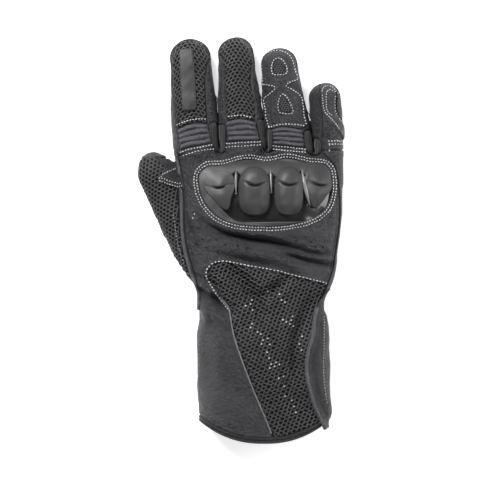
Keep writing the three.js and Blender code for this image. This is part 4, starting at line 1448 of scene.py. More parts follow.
def rib_shape(digit, low, high):
    """Padded ribs across the foot of a finger, between two lines."""
    d = DIGITS[digit]
    rise = sizes().rib_height / MM
    low, high = np.array(low).T, np.array(high).T

    def extra(skin):
        u, v = digit_axes(d, skin.points)
        across, along = u / digit_half(d, v), v / d["length"]
        bottom, top = np.interp(across, *low), np.interp(across, *high)
        t = np.clip((along - bottom) / (top - bottom), 0, 1) * RIB_COUNT
        t = t + 0.07 * np.sin(5 * across + 1.7 * np.floor(t))
        pads = np.abs(np.sin(np.pi * t)) ** 0.6
        left, right = across - high[0].min(), high[0].max() - across
        ends = np.clip(left / 0.2, 0, 1) * np.clip(right / 0.2, 0, 1)
        return rise * (pads - 0.35) * (0.25 + 0.75 * np.sqrt(ends))

    return extra


# The lines between which the padded ribs of a finger lie.
RIBS = {
    "index": (
        [(-0.712, 0.022), (-0.278, 0.044), (0.172, 0.056), (0.732, 0.071)],
        [(-0.767, 0.216), (-0.387, 0.241), (0.055, 0.253), (0.577, 0.245)],
    ),
    "middle": (
        [(-0.708, 0.096), (0.011, 0.094), (0.796, 0.088)],
        [(-0.67, 0.276), (-0.35, 0.286), (-0.046, 0.289), (0.3, 0.278), (0.647, 0.256)],
    ),
    "ring": (
        [(-0.727, 0.092), (-0.102, 0.058), (0.656, 0.019)],
        [(-0.806, 0.242), (-0.4, 0.252), (-0.092, 0.244), (0.3, 0.222), (0.663, 0.2)],
    ),
}
# How the outline of a finger's back goes on from the upper line of its ribs.
BACKS = {
    "index": [
        (0.579, 0.279), (0.591, 0.458), (0.651, 0.654), (0.862, 0.813), (1.5, 0.84), (1.5, 1.25),
        (-1.5, 1.25), (-1.5, 0.84), (-0.965, 0.816), (-0.903, 0.521), (-0.787, 0.296),
    ],
    "middle": [
        (0.704, 0.315), (0.685, 0.448), (0.661, 0.607), (0.845, 0.764), (1.5, 0.8), (1.5, 1.25),
        (-1.5, 1.25), (-1.5, 0.88), (-0.857, 0.855), (-0.717, 0.713), (-0.718, 0.512), (-0.702, 0.336),
    ],
    "ring": [
        (0.88, 0.24), (0.95, 0.5), (0.97, 0.84), (1.5, 0.9), (1.5, 1.2), (-1.5, 1.2), (-1.5, 0.9),
        (-0.95, 0.84), (-0.94, 0.5),
    ],
}
PATCH = [(-0.523, 0.918), (0.15, 0.928), (0.163, 0.642), (0.137, 0.374), (-0.485, 0.366), (-0.535, 0.651)]
RING_WINDOWS = {
    "ring_window_tip": [
        (0.04, 0.908), (0.24, 0.877), (0.38, 0.802), (0.31, 0.764), (-0.05, 0.762), (-0.35, 0.776),
        (-0.37, 0.833), (-0.22, 0.896),
    ],
    "ring_window_middle": [
        (-0.01, 0.556), (-0.14, 0.533), (-0.25, 0.474), (-0.25, 0.402), (0.01, 0.379), (0.29, 0.378),
        (0.31, 0.412), (0.2, 0.492), (0.11, 0.537),
    ],
}
RING_NOTCHES = {
    "ring_notch_left": [(-1.2, 0.7), (-0.66, 0.665), (-0.316, 0.638), (-0.58, 0.6), (-1.2, 0.51)],
    "ring_notch_right": [(1.2, 0.7), (0.509, 0.666), (0.203, 0.642), (0.455, 0.598), (1.2, 0.46)],
}
LITTLE_WINDOW = [(0.78, 0.9), (0.7, 0.75), (0.66, 0.585), (0.8, 0.49), (1.5, 0.38), (1.5, 0.9)]
LITTLE_BACK = [
    (-0.34, 0.0), (1.5, 0.0), (1.5, 1.2), (-0.22, 1.2), (-0.26, 0.73), (-0.25, 0.557), (-0.31, 0.331),
    (-0.45, 0.216),
]
LITTLE_BAND = [
    (-0.246, 0.84), (-0.286, 0.729), (-0.249, 0.6), (-0.134, 0.509), (0.251, 0.379), (0.693, 0.276),
    (0.86, 0.2), (0.93, 0.16), (1.0, 0.3), (0.9, 0.42), (0.66, 0.49), (0.54, 0.58), (0.56, 0.74),
    (0.66, 0.86), (0.5, 0.955), (0.2, 1.0), (-0.1, 0.94),
]


def soft_corners(outline):
    """An outline with its corners cut round."""
    line = []
    for before, here, after in zip(np.roll(outline, 1, 0), outline, np.roll(outline, -1, 0)):
        a = here + (before - here) / np.linalg.norm(before - here) * 2
        b = here + (after - here) / np.linalg.norm(after - here) * 2
        line += [a, (a + b + 2 * here) / 4, b]
    return np.array(line)


def shirring(skin):
    """Fine gathers across the little finger, beside the seam of its back."""
    d = DIGITS["little"]
    u, v = digit_axes(d, skin.points)
    across, along = u / digit_half(d, v), v / d["length"]
    ends = np.clip((along - 0.15) / 0.05, 0, 1) * np.clip((0.42 - along) / 0.06, 0, 1)
    return 0.42 * np.clip((0.24 - across) / 0.2, 0, 1) * ends * np.cos(2 * np.pi * v / 1.45)


class GLOVE_OT_fingers(Step, bpy.types.Operator):
    """Cuts the four fingers: mesh backs, windows, ribs, patch and band"""

    bl_idname = "glove.fingers"
    bl_label = "Fingers"

    def ribbed(self, digit, *seam):
        """A finger's own part of the hand, once its ribs are cut from it."""
        tube = Cloth(work["hand"].cut(finger_region(digit, *seam)))
        low, high = RIBS[digit]
        field = tube.cut(on_back(digit, digit_plan(digit, low + high[::-1])))
        shape = rib_shape(digit, low, high)
        # The ribs' lighter leather stands for their sheen: painted sheen.
        piece = panel(digit + "_ribs", field, "stretch", extra=shape, finer=1, levels=(0.4, 1.0))
        return tube

    def back_outline(self, digit):
        return digit_plan(digit, RIBS[digit][1] + BACKS[digit])

    def make_netted(self, digit, start, *seam):
        """A finger with a mesh back, from a share of its length on."""
        tube, back = self.ribbed(digit, *seam), self.back_outline(digit)
        mesh_back(digit, tube.cut(on_back(digit, back)), back, start)
        panel(digit + "_front", tube.field, "leather", shape=SEWN_SHAPE)

    def make_ring(self):
        tube, strands = self.ribbed("ring", 0.03, 0.03), []
        for name, places in RING_WINDOWS.items():
            outline = rounded(digit_plan("ring", places), 4)
            field = tube.cut(on_back("ring", outline))
            panel(name, field, "backing_and_painted_shade", shape=([0, 2], [-0.9, -0.9]), levels=())
            strands.append(digit_lattice("ring", outline, 0.3, 1.0, pitch=0.62, margin=0.25, bow=0.0))
        for name, places in RING_NOTCHES.items():
            field = tube.cut(on_back("ring", digit_plan("ring", places)))
            panel(name, field, "dark_leather", shape=([0, 2], [-0.5, -0.2]), levels=())
        (first, edges), (second, more) = strands
        edges = edges + [(a + len(first), b + len(first)) for a, b in more]
        net("ring_net", np.concatenate([first, second]), edges, sizes().cloth_strand * 0.8)
        field = tube.cut(on_back("ring", self.back_outline("ring")))
        panel("ring_back", field, "leather", shape=SEWN_SHAPE, levels=SEWN_LEVELS)
        panel("ring_front", tube.field, "dark_leather")

    def make_little(self):
        tube = Cloth(work["hand"].cut(finger_region("little", 0.02, 0.02)))
        window = digit_plan("little", LITTLE_WINDOW)
        mesh_back("little", tube.cut(on_back("little", window)), window, 0.4, 0.9, pitch=0.7, bow=0.0)
        field = tube.cut(on_back("little", digit_plan("little", LITTLE_BACK)))
        panel("little_back", field, "leather", extra=shirring, finer=1)
        panel("little_front", tube.field, "dark_leather")
        band = rounded(digit_plan("little", LITTLE_BAND), 3)
        cover("little_overlay", band, 0.15, "leather", floor=9.5)

    def make(self):
        self.make_netted("index", 0.2, -0.03, 0.03)
        patch = soft_corners(rounded(digit_plan("index", PATCH), 1))
        cover("index_patch", patch, 0.25, "patch", thick=1.1, roll=0.12, finer=0)
        self.make_netted("middle", 0.24, 0.05, 0.05)
        self.make_ring()
        self.make_little()


THUMB_WEB = [
    (0.141, 1.013), (0.347, 0.953), (0.516, 0.883), (0.636, 0.809), (0.8, 0.76), (1.6, 0.79), (1.6, 1.1),
    (0.5, 1.1),
]
THUMB_TAB = [
    (-0.1, 0.79), (0.1, 0.757), (0.265, 0.729), (0.646, 0.672), (0.93, 0.655), (1.1, 0.74), (1.096, 0.816),
    (0.536, 0.826), (0.1, 0.82),
]


class GLOVE_OT_thumb(Step, bpy.types.Operator):
    """Cuts the thumb: mesh back, dark front and the three-cornered tab"""

    bl_idname = "glove.thumb"
    bl_label = "Thumb"

    def make(self):
        edge = hand_plan([(-1, along) for along in HAND["along"] if along > 0.44])
        edge[:, 0] -= 0.4
        last = edge[-1]
        outline = np.array([*edge, (last[0] - 3, last[1] + 30), (-300, last[1] + 30), (-300, edge[0, 1])])
        tube = Cloth(work["hand"].cut(inside_of(outline)))
        web = digit_plan("thumb", THUMB_WEB)
        facing = (work["form"].normals[:, 2] + 0.12) * 10
        dark = tube.cut(inside_of(web))
        mesh_back("thumb", tube.cut(facing), outline, 0.0, holes=(web,), bow=0.12)
        panel("thumb_front", tube.field, "dark_leather")
        panel("thumb_web", dark, "dark_leather", nodes=("thumb_front",))
        tab = digit_plan("thumb", THUMB_TAB)
        cover("thumb_tab", tab, 0.5, "dark_leather", floor=7.0)


THUMB_SIDE = [
    (-0.953, 1.06), (-0.953, 0.99), (-0.945, 0.931), (-0.948, 0.8345), (-0.962, 0.7483), (-0.959, 0.6621),
    (-0.945, 0.5759), (-0.985, 0.49), (-1.05, 0.455), (-1.12, 0.43),
]
LITTLE_SIDE = [
    (0.6, 1.06), (0.754, 0.9966), (0.827, 0.9793), (0.898, 0.9586), (0.941, 0.931), (0.962, 0.8966),
    (0.965, 0.8517), (0.972, 0.8), (0.974, 0.7379), (0.972, 0.6897), (0.969, 0.6414), (0.958, 0.5931),
    (0.96, 0.5),
]


def edge_strip(inner):
    """The region from a line down one side of the hand to past its outer edge."""
    inner = hand_line(inner)
    side = math.copysign(90.0, inner[0, 0])
    return np.concatenate([inner, np.stack([np.full(len(inner), side), inner[::-1, 1]], 1)])


SIDE_ROLL = [
    (-0.97, 1.0), (-0.962, 0.93), (-0.973, 0.8345), (-0.988, 0.748), (-0.988, 0.662), (-0.978, 0.585),
    (-0.965, 0.52), (-1.0, 0.46),
]


# The net's rows run parallel to its edge beside the leather.
NET_TURN = math.radians(19)
NET_MIDDLE = [8.0, 70.0]
MESH_EDGE = [
    (-0.76, 0.552), (-0.648, 0.5), (-0.523, 0.462), (-0.487, 0.421), (-0.432, 0.369), (-0.298, 0.276),
    (-0.135, 0.1745), (0.046, 0.0724), (0.17, 0.0),
]
MESH_TOP = [
    (-0.758, 0.586), (-0.66, 0.612), (-0.533, 0.621), (-0.165, 0.6034), (0.213, 0.5862), (0.506, 0.569),
    (0.89, 0.5472), (1.1, 0.53),
]
FLAP = [
    (0.985, 0.53), (0.922, 0.4828), (0.843, 0.4276), (0.783, 0.369), (0.7, 0.3103), (0.672, 0.2552),
    (0.697, 0.2), (0.76, 0.1379), (0.85, 0.0828), (0.931, 0.05), (1.05, 0.06), (1.1, 0.12), (1.1, 0.5),
]
FLAP_EDGE = 10  # so many of its places lie on its inner edge
SIDE_HEIGHT = 7.0  # above it lie the side strips
NET_REACH, NET_HALF, ROW_SHARE = 95.0, 80.0, 0.62
# The bands along which pale beads, painted highlights on the net's crossings, show in the net, how far the
# beads stray from them and the share of the places that they fill.
PAINTED_HIGHLIGHT_REACH, MOST_PAINTED_HIGHLIGHTS = 11.0, 0.27
PAINTED_HIGHLIGHT_BANDS = [
    [
        (-0.231, 0.49), (-0.09, 0.403), (0.059, 0.3345), (0.146, 0.276), (0.278, 0.2207), (0.332, 0.162),
        (0.449, 0.1034),
    ],
    [(0.099, 0.538), (0.283, 0.49), (0.39, 0.4345), (0.544, 0.3724), (0.579, 0.3172)],
]


class GLOVE_OT_cuff(Step, bpy.types.Operator):
    """Makes the cuff's net, its pale beads of painted highlight, the piping and the flap"""

    bl_idname = "glove.cuff"
    bl_label = "Cuff"

    def make(self):
        self.make_sides()
        outline = np.concatenate([
            hand_line(MESH_EDGE)[::-1], hand_line(MESH_TOP), hand_plan([(1.1, -0.04), (0.2, -0.04)]),
        ])
        self.make_net(outline)
        self.make_flap()
        piping = hand_line(MESH_EDGE[1:])
        piping = piping[piping[:, 1] > hem_height(piping[:, 0]) + 5]
        cords("net_piping", [top_line(piping, 0.1)], 0.5, "light_leather")

    def make_sides(self):
        sides = {"thumb_side_strip": THUMB_SIDE, "little_side_strip": LITTLE_SIDE}
        for name, places in sides.items():
            field = np.minimum(inside_of(edge_strip(places)), higher_than(SIDE_HEIGHT))
            panel(name, work["hand"].cut(field), "leather")
        roll = hand_line(SIDE_ROLL)
        # The roll's lighter leather is a painted highlight along the side strip.
        cords("side_roll", [top_line(roll, 0.5)], 1.35, "stretch", sides=10)
        seams = [top_line(hand_line(places[1:]), 0.0) for places in sides.values()]
        # Black cords in the side seams: painted shade in their grooves.
        cords("painted_seam_shade", seams, 0.75, "backing_and_painted_shade")

    def hand_shown(self, margin=0.4):
        """The hand's own plan from the hem to the wrist, without its rim."""
        shown = []
        for side, ys in ((-1, np.arange(0, 150, 5)), (1, np.arange(150, -1, -5))):
            for y in ys:
                along = y / HAND_LENGTH
                half = smooth_column("width", along) / 2 - margin
                shown.append([smooth_column("centre", along) * PALM_WIDTH + side * half, y])
        return np.array(shown)

    def make_net(self, outline):
        """The net on its black sheet, with pale beads of painted highlight by a fixed random draw along two
        bands.
        """
        field = work["hand"].cut(np.minimum(inside_of(outline), work["seam"]))
        shape = ([0, 2], [-1.3, -1.3])
        panel("cuff_mesh", field, "backing_and_painted_shade", shape=shape, levels=(), depth=2.1)
        pitch = sizes().net_pitch / MM
        c, s = math.cos(NET_TURN), math.sin(NET_TURN)
        plan = lambda u, v: np.stack([u, v], -1) @ np.array([[c, s], [-s, c]]) + NET_MIDDLE
        rows_at = np.arange(-NET_REACH, NET_REACH, pitch * ROW_SHARE)
        hem = [(x, hem_height(x) + 4.4) for x in np.linspace(-60, 60, 40)]
        below, shown = np.array([*hem, (60, -50), (-60, -50)]), self.hand_shown()
        points, edges = lattice(
            outline, plan, rows_at, pitch, half=lambda v: NET_HALF, tall=1.5, margin=0.3, holes=(below,),
            flat=True, loose=0.26, within=lambda u, v: plan_distance(plan(u, v), shown)[0] > 0,
        )
        net("cuff_net", points, edges, sizes().net_strand)
        chance, across = np.random.default_rng(11), np.arange(-25, 26)
        every = np.concatenate([
            plan((across + (j % 2) / 2) * pitch, np.full(len(across), v)) for j, v in enumerate(rows_at)
        ])
        near = np.min([line_distance(every, hand_plan(band))[0] for band in PAINTED_HIGHLIGHT_BANDS], 0)
        # The pale beads are painted highlights on the net's crossings.
        painted_knot_highlights = every[chance.random(len(every)) < np.clip(0.5 - near / PAINTED_HIGHLIGHT_REACH, 0, MOST_PAINTED_HIGHLIGHTS)]
        keep = plan_distance(painted_knot_highlights, grown(outline, -2.5))[0] > 0
        spots, normals = on_top(painted_knot_highlights[keep])
        beads("cuff_knots", spots - normals * 0.1, 0.62, 0.5, "painted_highlight_dots")

    def make_flap(self):
        edge = hand_line(FLAP[:FLAP_EDGE], 5)

        def valley(skin):
            """A valley beside the rolled edge, and the flap's two thin ends."""
            y = skin.points[:, 1]
            away, _ = line_distance(skin.points[:, :2], edge)
            ends = np.clip((y - 94) / 12, 0, 1) + np.clip((18 - y) / 8, 0, 1)
            bank, dip = 0.8 * np.exp(-((away - 9.5) / 2.6) ** 2), 1.3 * np.exp(-((away - 4.8) / 1.4) ** 2)
            return bank - dip - 1.1 * ends

        flap = rounded(hand_plan(FLAP), 4)
        cover("cuff_flap", flap, 0.2, "dark_leather", floor=6.5, roll=0.3, finer=0, extra=valley)
        # The roll's lighter leather is a painted highlight along the flap's edge.
        cords("flap_roll", [top_line(edge[7:], 0.9)], 1.6, "stretch", sides=12)


GUARD_WINDOW = [
    (-0.617, 0.95), (-0.473, 0.952), (-0.36, 0.958), (-0.247, 0.969), (-0.09, 0.974), (0.062, 0.965),
    (0.16, 0.967), (0.31, 0.978), (0.49, 0.97), (0.59, 0.962), (0.73, 0.96), (0.805, 0.955), (0.855, 0.94),
    (0.878, 0.912), (0.875, 0.872), (0.852, 0.841), (0.81, 0.81), (0.71, 0.782), (0.58, 0.764),
    (0.44, 0.754), (0.23, 0.744), (-0.2, 0.746), (-0.41, 0.758), (-0.55, 0.778), (-0.65, 0.806),
    (-0.72, 0.841), (-0.746, 0.872), (-0.74, 0.92),
]
# The opening's upper edge hides under the knuckles, so that it shows as slots between them.
GUARD_OPENING = [
    (-0.678, 0.881), (-0.488, 0.9034), (-0.303, 0.9276), (-0.278, 0.9352), (-0.26, 0.9276),
    (-0.075, 0.8897), (0.123, 0.9241), (0.142, 0.9328), (0.157, 0.9241), (0.341, 0.8897), (0.489, 0.9276),
    (0.513, 0.9379), (0.538, 0.9241), (0.712, 0.9034), (0.878, 0.8776), (0.842, 0.8483), (0.786, 0.8172),
    (0.726, 0.7897), (0.556, 0.7638), (0.296, 0.7586), (-0.09, 0.7586), (-0.289, 0.761), (-0.399, 0.7793),
    (-0.508, 0.8121), (-0.612, 0.85),
]
SHIELD = [(0, 1), (0.6, 0.93), (0.95, 0.6), (1, 0.12), (0.62, -0.42), (0.22, -0.92), (0, -1)]
TONGUE = [
    (0, 1), (0.52, 0.92), (0.86, 0.66), (0.99, 0.3), (1, 0), (0.98, -0.4), (0.88, -0.7), (0.6, -0.92),
    (0, -1),
]
# Each knuckle block: middle, half-width and half-length in millimetres, rise as a share,
# outline, and how far its foot is drawn sideways.
KNUCKLES = [
    ((-0.5, 0.868), 11.6, 15.0, 0.5, SHIELD, 5.2),
    ((-0.078, 0.864), 11.8, 18.2, 1.0, TONGUE, 0.3),
    ((0.345, 0.864), 10.9, 18.2, 1.0, TONGUE, 0.0),
    ((0.705, 0.873), 10.6, 14.8, 0.6, SHIELD, -2.4),
]
SMILES = [
    [(-0.63, 0.884), (-0.569, 0.877), (-0.483, 0.8752), (-0.372, 0.8897)],
    [(-0.232, 0.9021), (-0.149, 0.8879), (-0.066, 0.8793), (0.035, 0.8879), (0.098, 0.8966)],
    [(0.185, 0.9034), (0.279, 0.8862), (0.364, 0.8803), (0.451, 0.8883), (0.49, 0.9)],
    [(0.575, 0.905), (0.64, 0.893), (0.708, 0.8841), (0.79, 0.884), (0.85, 0.893)],
]
# The grooves of the guard, each with the radius of the pale gloss crest that stands in it, whose pale colour
# is a painted reflection.
GROOVES = [
    ([(-0.278, 0.938), (-0.295, 0.895), (-0.3, 0.855)], 1.0),
    ([(0.14, 0.936), (0.134, 0.9), (0.133, 0.86)], 0.85),
    ([(0.515, 0.938), (0.55, 0.876), (0.6, 0.815)], 1.7),
]
# The sheet from which the guard is cut, and the plate's flange under the leather.
SHEET_MARGIN, SHEET_STEP, FLANGE_WIDTH = 6, 0.62, 3.5
PLATE_DEPTH, PLATE_WALL, SHELL_WALL, GROOVE_WIDTH = 2.3, 3.4, 1.9, 2.3
DOME_REACH, SWELL_REACH = 8.5, 11  # from a block's outline to its full height
SMILE_DEPTH, SMILE_WIDTH, LIP_RISE, LIP_REACH = 2.6, 0.62, 0.3, 7


class GLOVE_OT_guard(Step, bpy.types.Operator):
    """Moulds the knuckle guard and the gloss plate under it"""

    bl_idname = "glove.guard"
    bl_label = "Knuckle guard"

    def make(self):
        window = rounded(hand_plan(GUARD_WINDOW), 3)
        work["window"] = window
        work["hand"].cut(np.minimum(inside_of(window), work["seam"]))
        low, high = window.min(0) - SHEET_MARGIN, window.max(0) + SHEET_MARGIN
        x, y = (np.arange(low[axis], high[axis], SHEET_STEP) for axis in (0, 1))
        points, normals = on_top(np.stack(np.meshgrid(x, y), -1).reshape(-1, 2))
        i = np.arange(len(points)).reshape(len(y), len(x))
        faces = quads(*(q.ravel() for q in (i[:-1, :-1], i[:-1, 1:], i[1:, 1:], i[1:, :-1])))
        pairs = edge_pairs(faces)
        sheet = Skin(blurred(points, pairs, 4), faces, unit(blurred(normals, pairs, 12)), {})
        sheet.fields["window"] = inside_of(window, sheet) - 0.1
        self.make_plate(sheet)
        self.make_shell(sheet)

    def make_plate(self, sheet):
        """The gloss plate: it rises in each groove, and a pale glossy crest stands there, whose pale colour
        is a painted reflection.
        """
        flange = Skin(sheet.points, sheet.faces, sheet.normals, dict(sheet.fields))
        flange.split("window", -FLANGE_WIDTH)
        flange = flange.part((flange.fields["window"][flange.faces] >= -FLANGE_WIDTH - 0.01).all(1))
        lift = np.full(len(flange.points), -PLATE_DEPTH)
        for groove, _ in GROOVES:
            away, share = line_distance(flange.points[:, :2], hand_line(groove))
            ends = np.clip(share / 0.12, 0, 1) * np.clip((1 - share) / 0.3, 0, 1)
            lift += PLATE_DEPTH * np.exp(-((away / GROOVE_WIDTH) ** 2)) * np.sqrt(ends)
        points, faces = walled(flange, lift, PLATE_WALL)
        make_piece("guard_base", points, faces, "gloss", ("guard_base",), crease=70)
        for i, (groove, wide) in enumerate(GROOVES):
            line, rings = top_line(hand_line(groove), 0.1), []
            for share, place in zip(np.linspace(0, 1, len(line)), line):
                radius = wide * math.sin(math.pi * min(max(share, 0.03), 0.97)) ** 0.7
                circle = [radius * np.cos(ROUND), 0 * ROUND, 1.5 * radius * np.sin(ROUND)]
                rings.append(place + np.stack(circle, 1))
            # Pale crests in the grooves: painted reflections on the gloss plate.
            solid_piece(f"guard_ridge_{i + 1}", rings, "painted_reflection")

    def make_shell(self, sheet):
        """The satin shell: a border round the opening, and the knuckle blocks with smiles."""
        plan, pairs = sheet.points[:, :2], edge_pairs(sheet.faces)
        opening = plan_distance(plan, rounded(hand_plan(GUARD_OPENING), 3))[0]
        best, dome = np.full(len(plan), -FAR), np.zeros(len(plan))
        for place, half, long, rise, shape, drawn in KNUCKLES:
            middle = hand_plan([place])[0]
            right = np.array(shape) * [half, long]
            left = right[1:-1][::-1] * [-1, 1]
            outline = np.concatenate([right, left])
            outline[:, 0] += drawn * np.clip(-outline[:, 1] / long, 0, 1) ** 1.3
            outline = rounded(outline, 3) + middle
            inside = plan_distance(plan, outline)[0]
            full = 1 - (1 - np.clip(inside / DOME_REACH, 0, 1)) ** 2
            below = np.clip((middle[1] + 0.25 * long - plan[:, 1]) / (0.5 * long), 0, 1)
            if shape is SHIELD:  # its upper part swells out of the border, its point stands free
                swell = 0.8 * np.clip(inside / SWELL_REACH, 0, 1) ** 1.8
                full = np.where(below > 0, full, 0) * below + (1 - below) * swell
                rim = 1.1 * below
            else:
                rim = 0.35 + 0.6 * below
            full = blurred(full[:, None], pairs, 14)[:, 0]
            rise = sizes().knuckle_rise / MM * rise
            height = np.where(inside > 0, rim + (rise - rim) * full, 0)
            closer = inside > best
            best = np.where(closer, inside, best)
            dome = np.where(closer, height, dome)
        cut = np.minimum(sheet.fields["window"], np.maximum(-opening, best))
        sheet.fields.update(shell=cut, knuckle=best, dome=dome)
        shell = Skin(sheet.points, sheet.faces, sheet.normals, sheet.fields)
        shell.split("shell", 0.0)
        shell = shell.part((shell.fields["shell"][shell.faces] >= -1e-6).all(1)).without_specks()
        for name, levels in (("shell", (0.3, 0.8)), ("knuckle", (0.0, 0.35))):
            for level in levels:
                shell.split(name, level)
        f = shell.fields
        lift = 0.3 + np.clip(f["knuckle"] / 0.35, 0, 1) * f["dome"]
        lift -= 0.55 * (1 - np.clip(f["shell"] / 0.8, 0, 1)) ** 2
        for smile in SMILES:
            line = hand_line(smile, 5)
            away, share = line_distance(shell.points[:, :2], line)
            middle = np.clip((0.5 - np.abs(share - 0.52)) / 0.3 - 0.35, 0, 1)
            lift -= SMILE_DEPTH * np.exp(-((away / SMILE_WIDTH) ** 2)) * middle
            over = shell.points[:, 1] - np.interp(shell.points[:, 0], line[:, 0], line[:, 1])
            near = np.clip(f["knuckle"] / 2.0, 0, 1) * (np.abs(shell.points[:, 0] - line[:, 0].mean()) < 14)
            lip = np.clip(over / 0.5 + 0.5, 0, 1) * np.exp(-np.maximum(over, 0) / LIP_REACH)
            lift += LIP_RISE * near * lip
        points, faces = walled(shell, lift, SHELL_WALL)
        # Lighter at the shell's edges: rubbed edges with a painted edge highlight.
        edge_wear_and_highlight = np.concatenate([np.exp(-f["shell"] / 0.5), 0 * lift])
        nodes = ("guard_shell",)
        make_piece("guard_shell", points, faces, "satin", nodes, edge_wear_and_highlight=edge_wear_and_highlight, crease=60)


class GLOVE_OT_hand(Step, bpy.types.Operator):
    """Cuts the back and the palm from what is left of the hand"""

    bl_idname = "glove.hand"
    bl_label = "Hand"

    def make(self):
        hand = work["hand"]
        field = hand.cut(work["seam"])
        panel("back_panel", field, "leather", shape=SEWN_SHAPE, levels=SEWN_LEVELS)
        panel("palm_panel", hand.field, "dark_leather")


# Rows of stitches, in the order in which they are sewn, as places on the plan of a digit.
FINGER_ROWS = [
    ("index", [(-0.755, 0.253), (-0.376, 0.278), (0.067, 0.292), (0.46, 0.288)]),
    ("index", [(-0.698, 0.004), (-0.284, 0.028), (0.167, 0.038), (0.684, 0.054)]),
    ("index", [(-0.573, -0.024), (-0.069, 0.001), (0.385, 0.013), (0.745, 0.018)]),
    ("middle", [(-0.545, 0.316), (-0.033, 0.323), (0.418, 0.299)]),
    ("middle", [(-0.713, 0.083), (0.006, 0.082), (0.769, 0.076)]),
    ("middle", [(-0.726, 0.053), (-0.006, 0.051), (0.758, 0.05)]),
    ("ring", [(-0.796, 0.264), (-0.344, 0.275), (0.099, 0.267), (0.705, 0.235)]),
    ("ring", [(-0.712, 0.08), (-0.108, 0.047), (0.628, 0.006)]),
    ("ring", [(-0.729, 0.048), (-0.04, 0.009), (0.613, -0.023)]),
    ("ring", [
        (-0.91, 0.915), (-0.72, 0.965), (-0.282, 0.994), (0.167, 0.987), (0.583, 0.945), (0.772, 0.88),
        (0.828, 0.762), (0.86, 0.69), (0.509, 0.672), (0.203, 0.642), (0.455, 0.598), (0.829, 0.521),
        (0.844, 0.427), (0.808, 0.321), (0.827, 0.252),
    ]),
    ("ring", [(-0.93, 0.897), (-0.94, 0.772), (-0.93, 0.685)]),
    ("ring", [
        (-0.93, 0.685), (-0.659, 0.67), (-0.33, 0.638), (-0.6, 0.59), (-0.93, 0.544), (-0.902, 0.451),
        (-0.886, 0.354), (-0.814, 0.274),
    ]),
    ("little", [(0.0, 0.158), (0.4, 0.155), (0.836, 0.142)]),
    ("little", [(0.016, 0.112), (0.4, 0.105), (0.862, 0.096)]),
    ("little", [(0.02, 0.1), (0.0, 0.06), (-0.015, 0.019)]),
]
WINDOW_ROW = [(0.66, 0.8), (0.6, 0.74), (0.56, 0.64), (0.66, 0.53), (0.86, 0.44)]
# Rows on the little finger's band and on the thumb's tab, with their height.
BAND_ROWS = [
    ("little", [
        (0.744, 0.845), (0.504, 0.92), (0.255, 0.954), (-0.02, 0.935), (-0.123, 0.888), (-0.145, 0.748),
        (-0.1, 0.6), (0.117, 0.519), (0.461, 0.411), (0.82, 0.26),
    ], 1.45),
    ("little", [
        (0.587, 0.865), (0.274, 0.901), (0.132, 0.868), (0.056, 0.744), (0.064, 0.597), (0.3, 0.53),
    ], 1.45),
    ("thumb", [(0.0, 0.783), (0.265, 0.74), (0.646, 0.688), (0.9, 0.68)], 1.85),
    ("thumb", [(0.14, 0.792), (0.38, 0.752), (0.7, 0.71), (0.9, 0.7)], 1.85),
    ("thumb", [(0.03, 0.8), (0.3, 0.815), (0.9, 0.81)], 1.85),
]
TACK = [(-0.825, 0.7845), (-0.842, 0.7707)]
FLAP_ROW = [(0.963, 0.43), (0.911, 0.3345), (0.894, 0.2655), (0.903, 0.1966), (0.937, 0.1379)]
THUMB_ROW = [(-0.152, 0.527), (-0.45, 0.396), (-0.62, 0.293), (-0.74, 0.2)]
# Where the leather is perforated; each hole is drawn as a black disc of painted shade.
PRICKS = [
    (-0.782, 0.739), (-0.742, 0.7), (-0.563, 0.7), (-0.422, 0.7028), (-0.82, 0.6834), (-0.704, 0.6714),
    (-0.453, 0.681), (-0.299, 0.6786), (-0.191, 0.669), (-0.564, 0.6593), (-0.372, 0.6493),
    (-0.196, 0.6469), (-0.041, 0.6421), (0.433, 0.6948), (0.574, 0.6731), (0.633, 0.6897), (0.692, 0.6731),
    (0.792, 0.6731),
]


class GLOVE_OT_sewing(Step, bpy.types.Operator):
    """Sews the rows of stitches and lays black discs of painted shade where the leather is perforated"""

    bl_idname = "glove.sewing"
    bl_label = "Sewing"

    def on_digit(self, name, places, lift=0.3):
        return top_line(rounded(digit_plan(name, places), 5, closed=False), lift), False

    def on_hand(self, places, lift):
        return top_line(hand_line(places, 5), lift), False

    def make(self):
        window = work["window"]
        rounds = [(top_line(grown(window, out), 0.35, closed=True), True) for out in (1.0, 3.1)]
        stitches("guard_stitches", rounds)
        lines = [self.on_digit(*row) for row in FINGER_ROWS]
        for places in RING_WINDOWS.values():
            outline = grown(rounded(digit_plan("ring", places), 4), 0.5)
            lines.append((top_line(outline, 0.3, closed=True), True))
        stitches("finger_stitches", [*lines, self.on_digit("little", WINDOW_ROW)])
        band = [*(self.on_digit(*row) for row in BAND_ROWS), self.on_hand(TACK, 0.9)]
        stitches("band_stitches", band, pitch=0.85, thread=0.85)
        past = [(0.8, 0.3), (-0.6, 0.3)]  # closes the line, so that it can be grown
        top = np.concatenate([hand_plan(MESH_EDGE[:3])[::-1], hand_plan(MESH_TOP[:-1] + past)])
        top = rounded(grown(top, 0.7)[:-2], 4, closed=False)
        stitches("cuff_stitches", [(top_line(top, 0.4), False)], pitch=1.25, thread=1.1)
        # The faint rows' darker thread is painted shade.
        faint = [self.on_hand(FLAP_ROW, 2.2), self.on_digit("thumb", THUMB_ROW, 0.1)]
        stitches("faint_stitches", faint, finish="shaded_thread", thread=0.8)
        # Black discs lifted onto the leather: painted shade for the holes of the perforated leather.
        spots, normals = on_top(hand_plan(PRICKS))
        beads("painted_perforation_shade", spots + normals * 0.8, 1.0, 0.3, "backing_and_painted_shade")


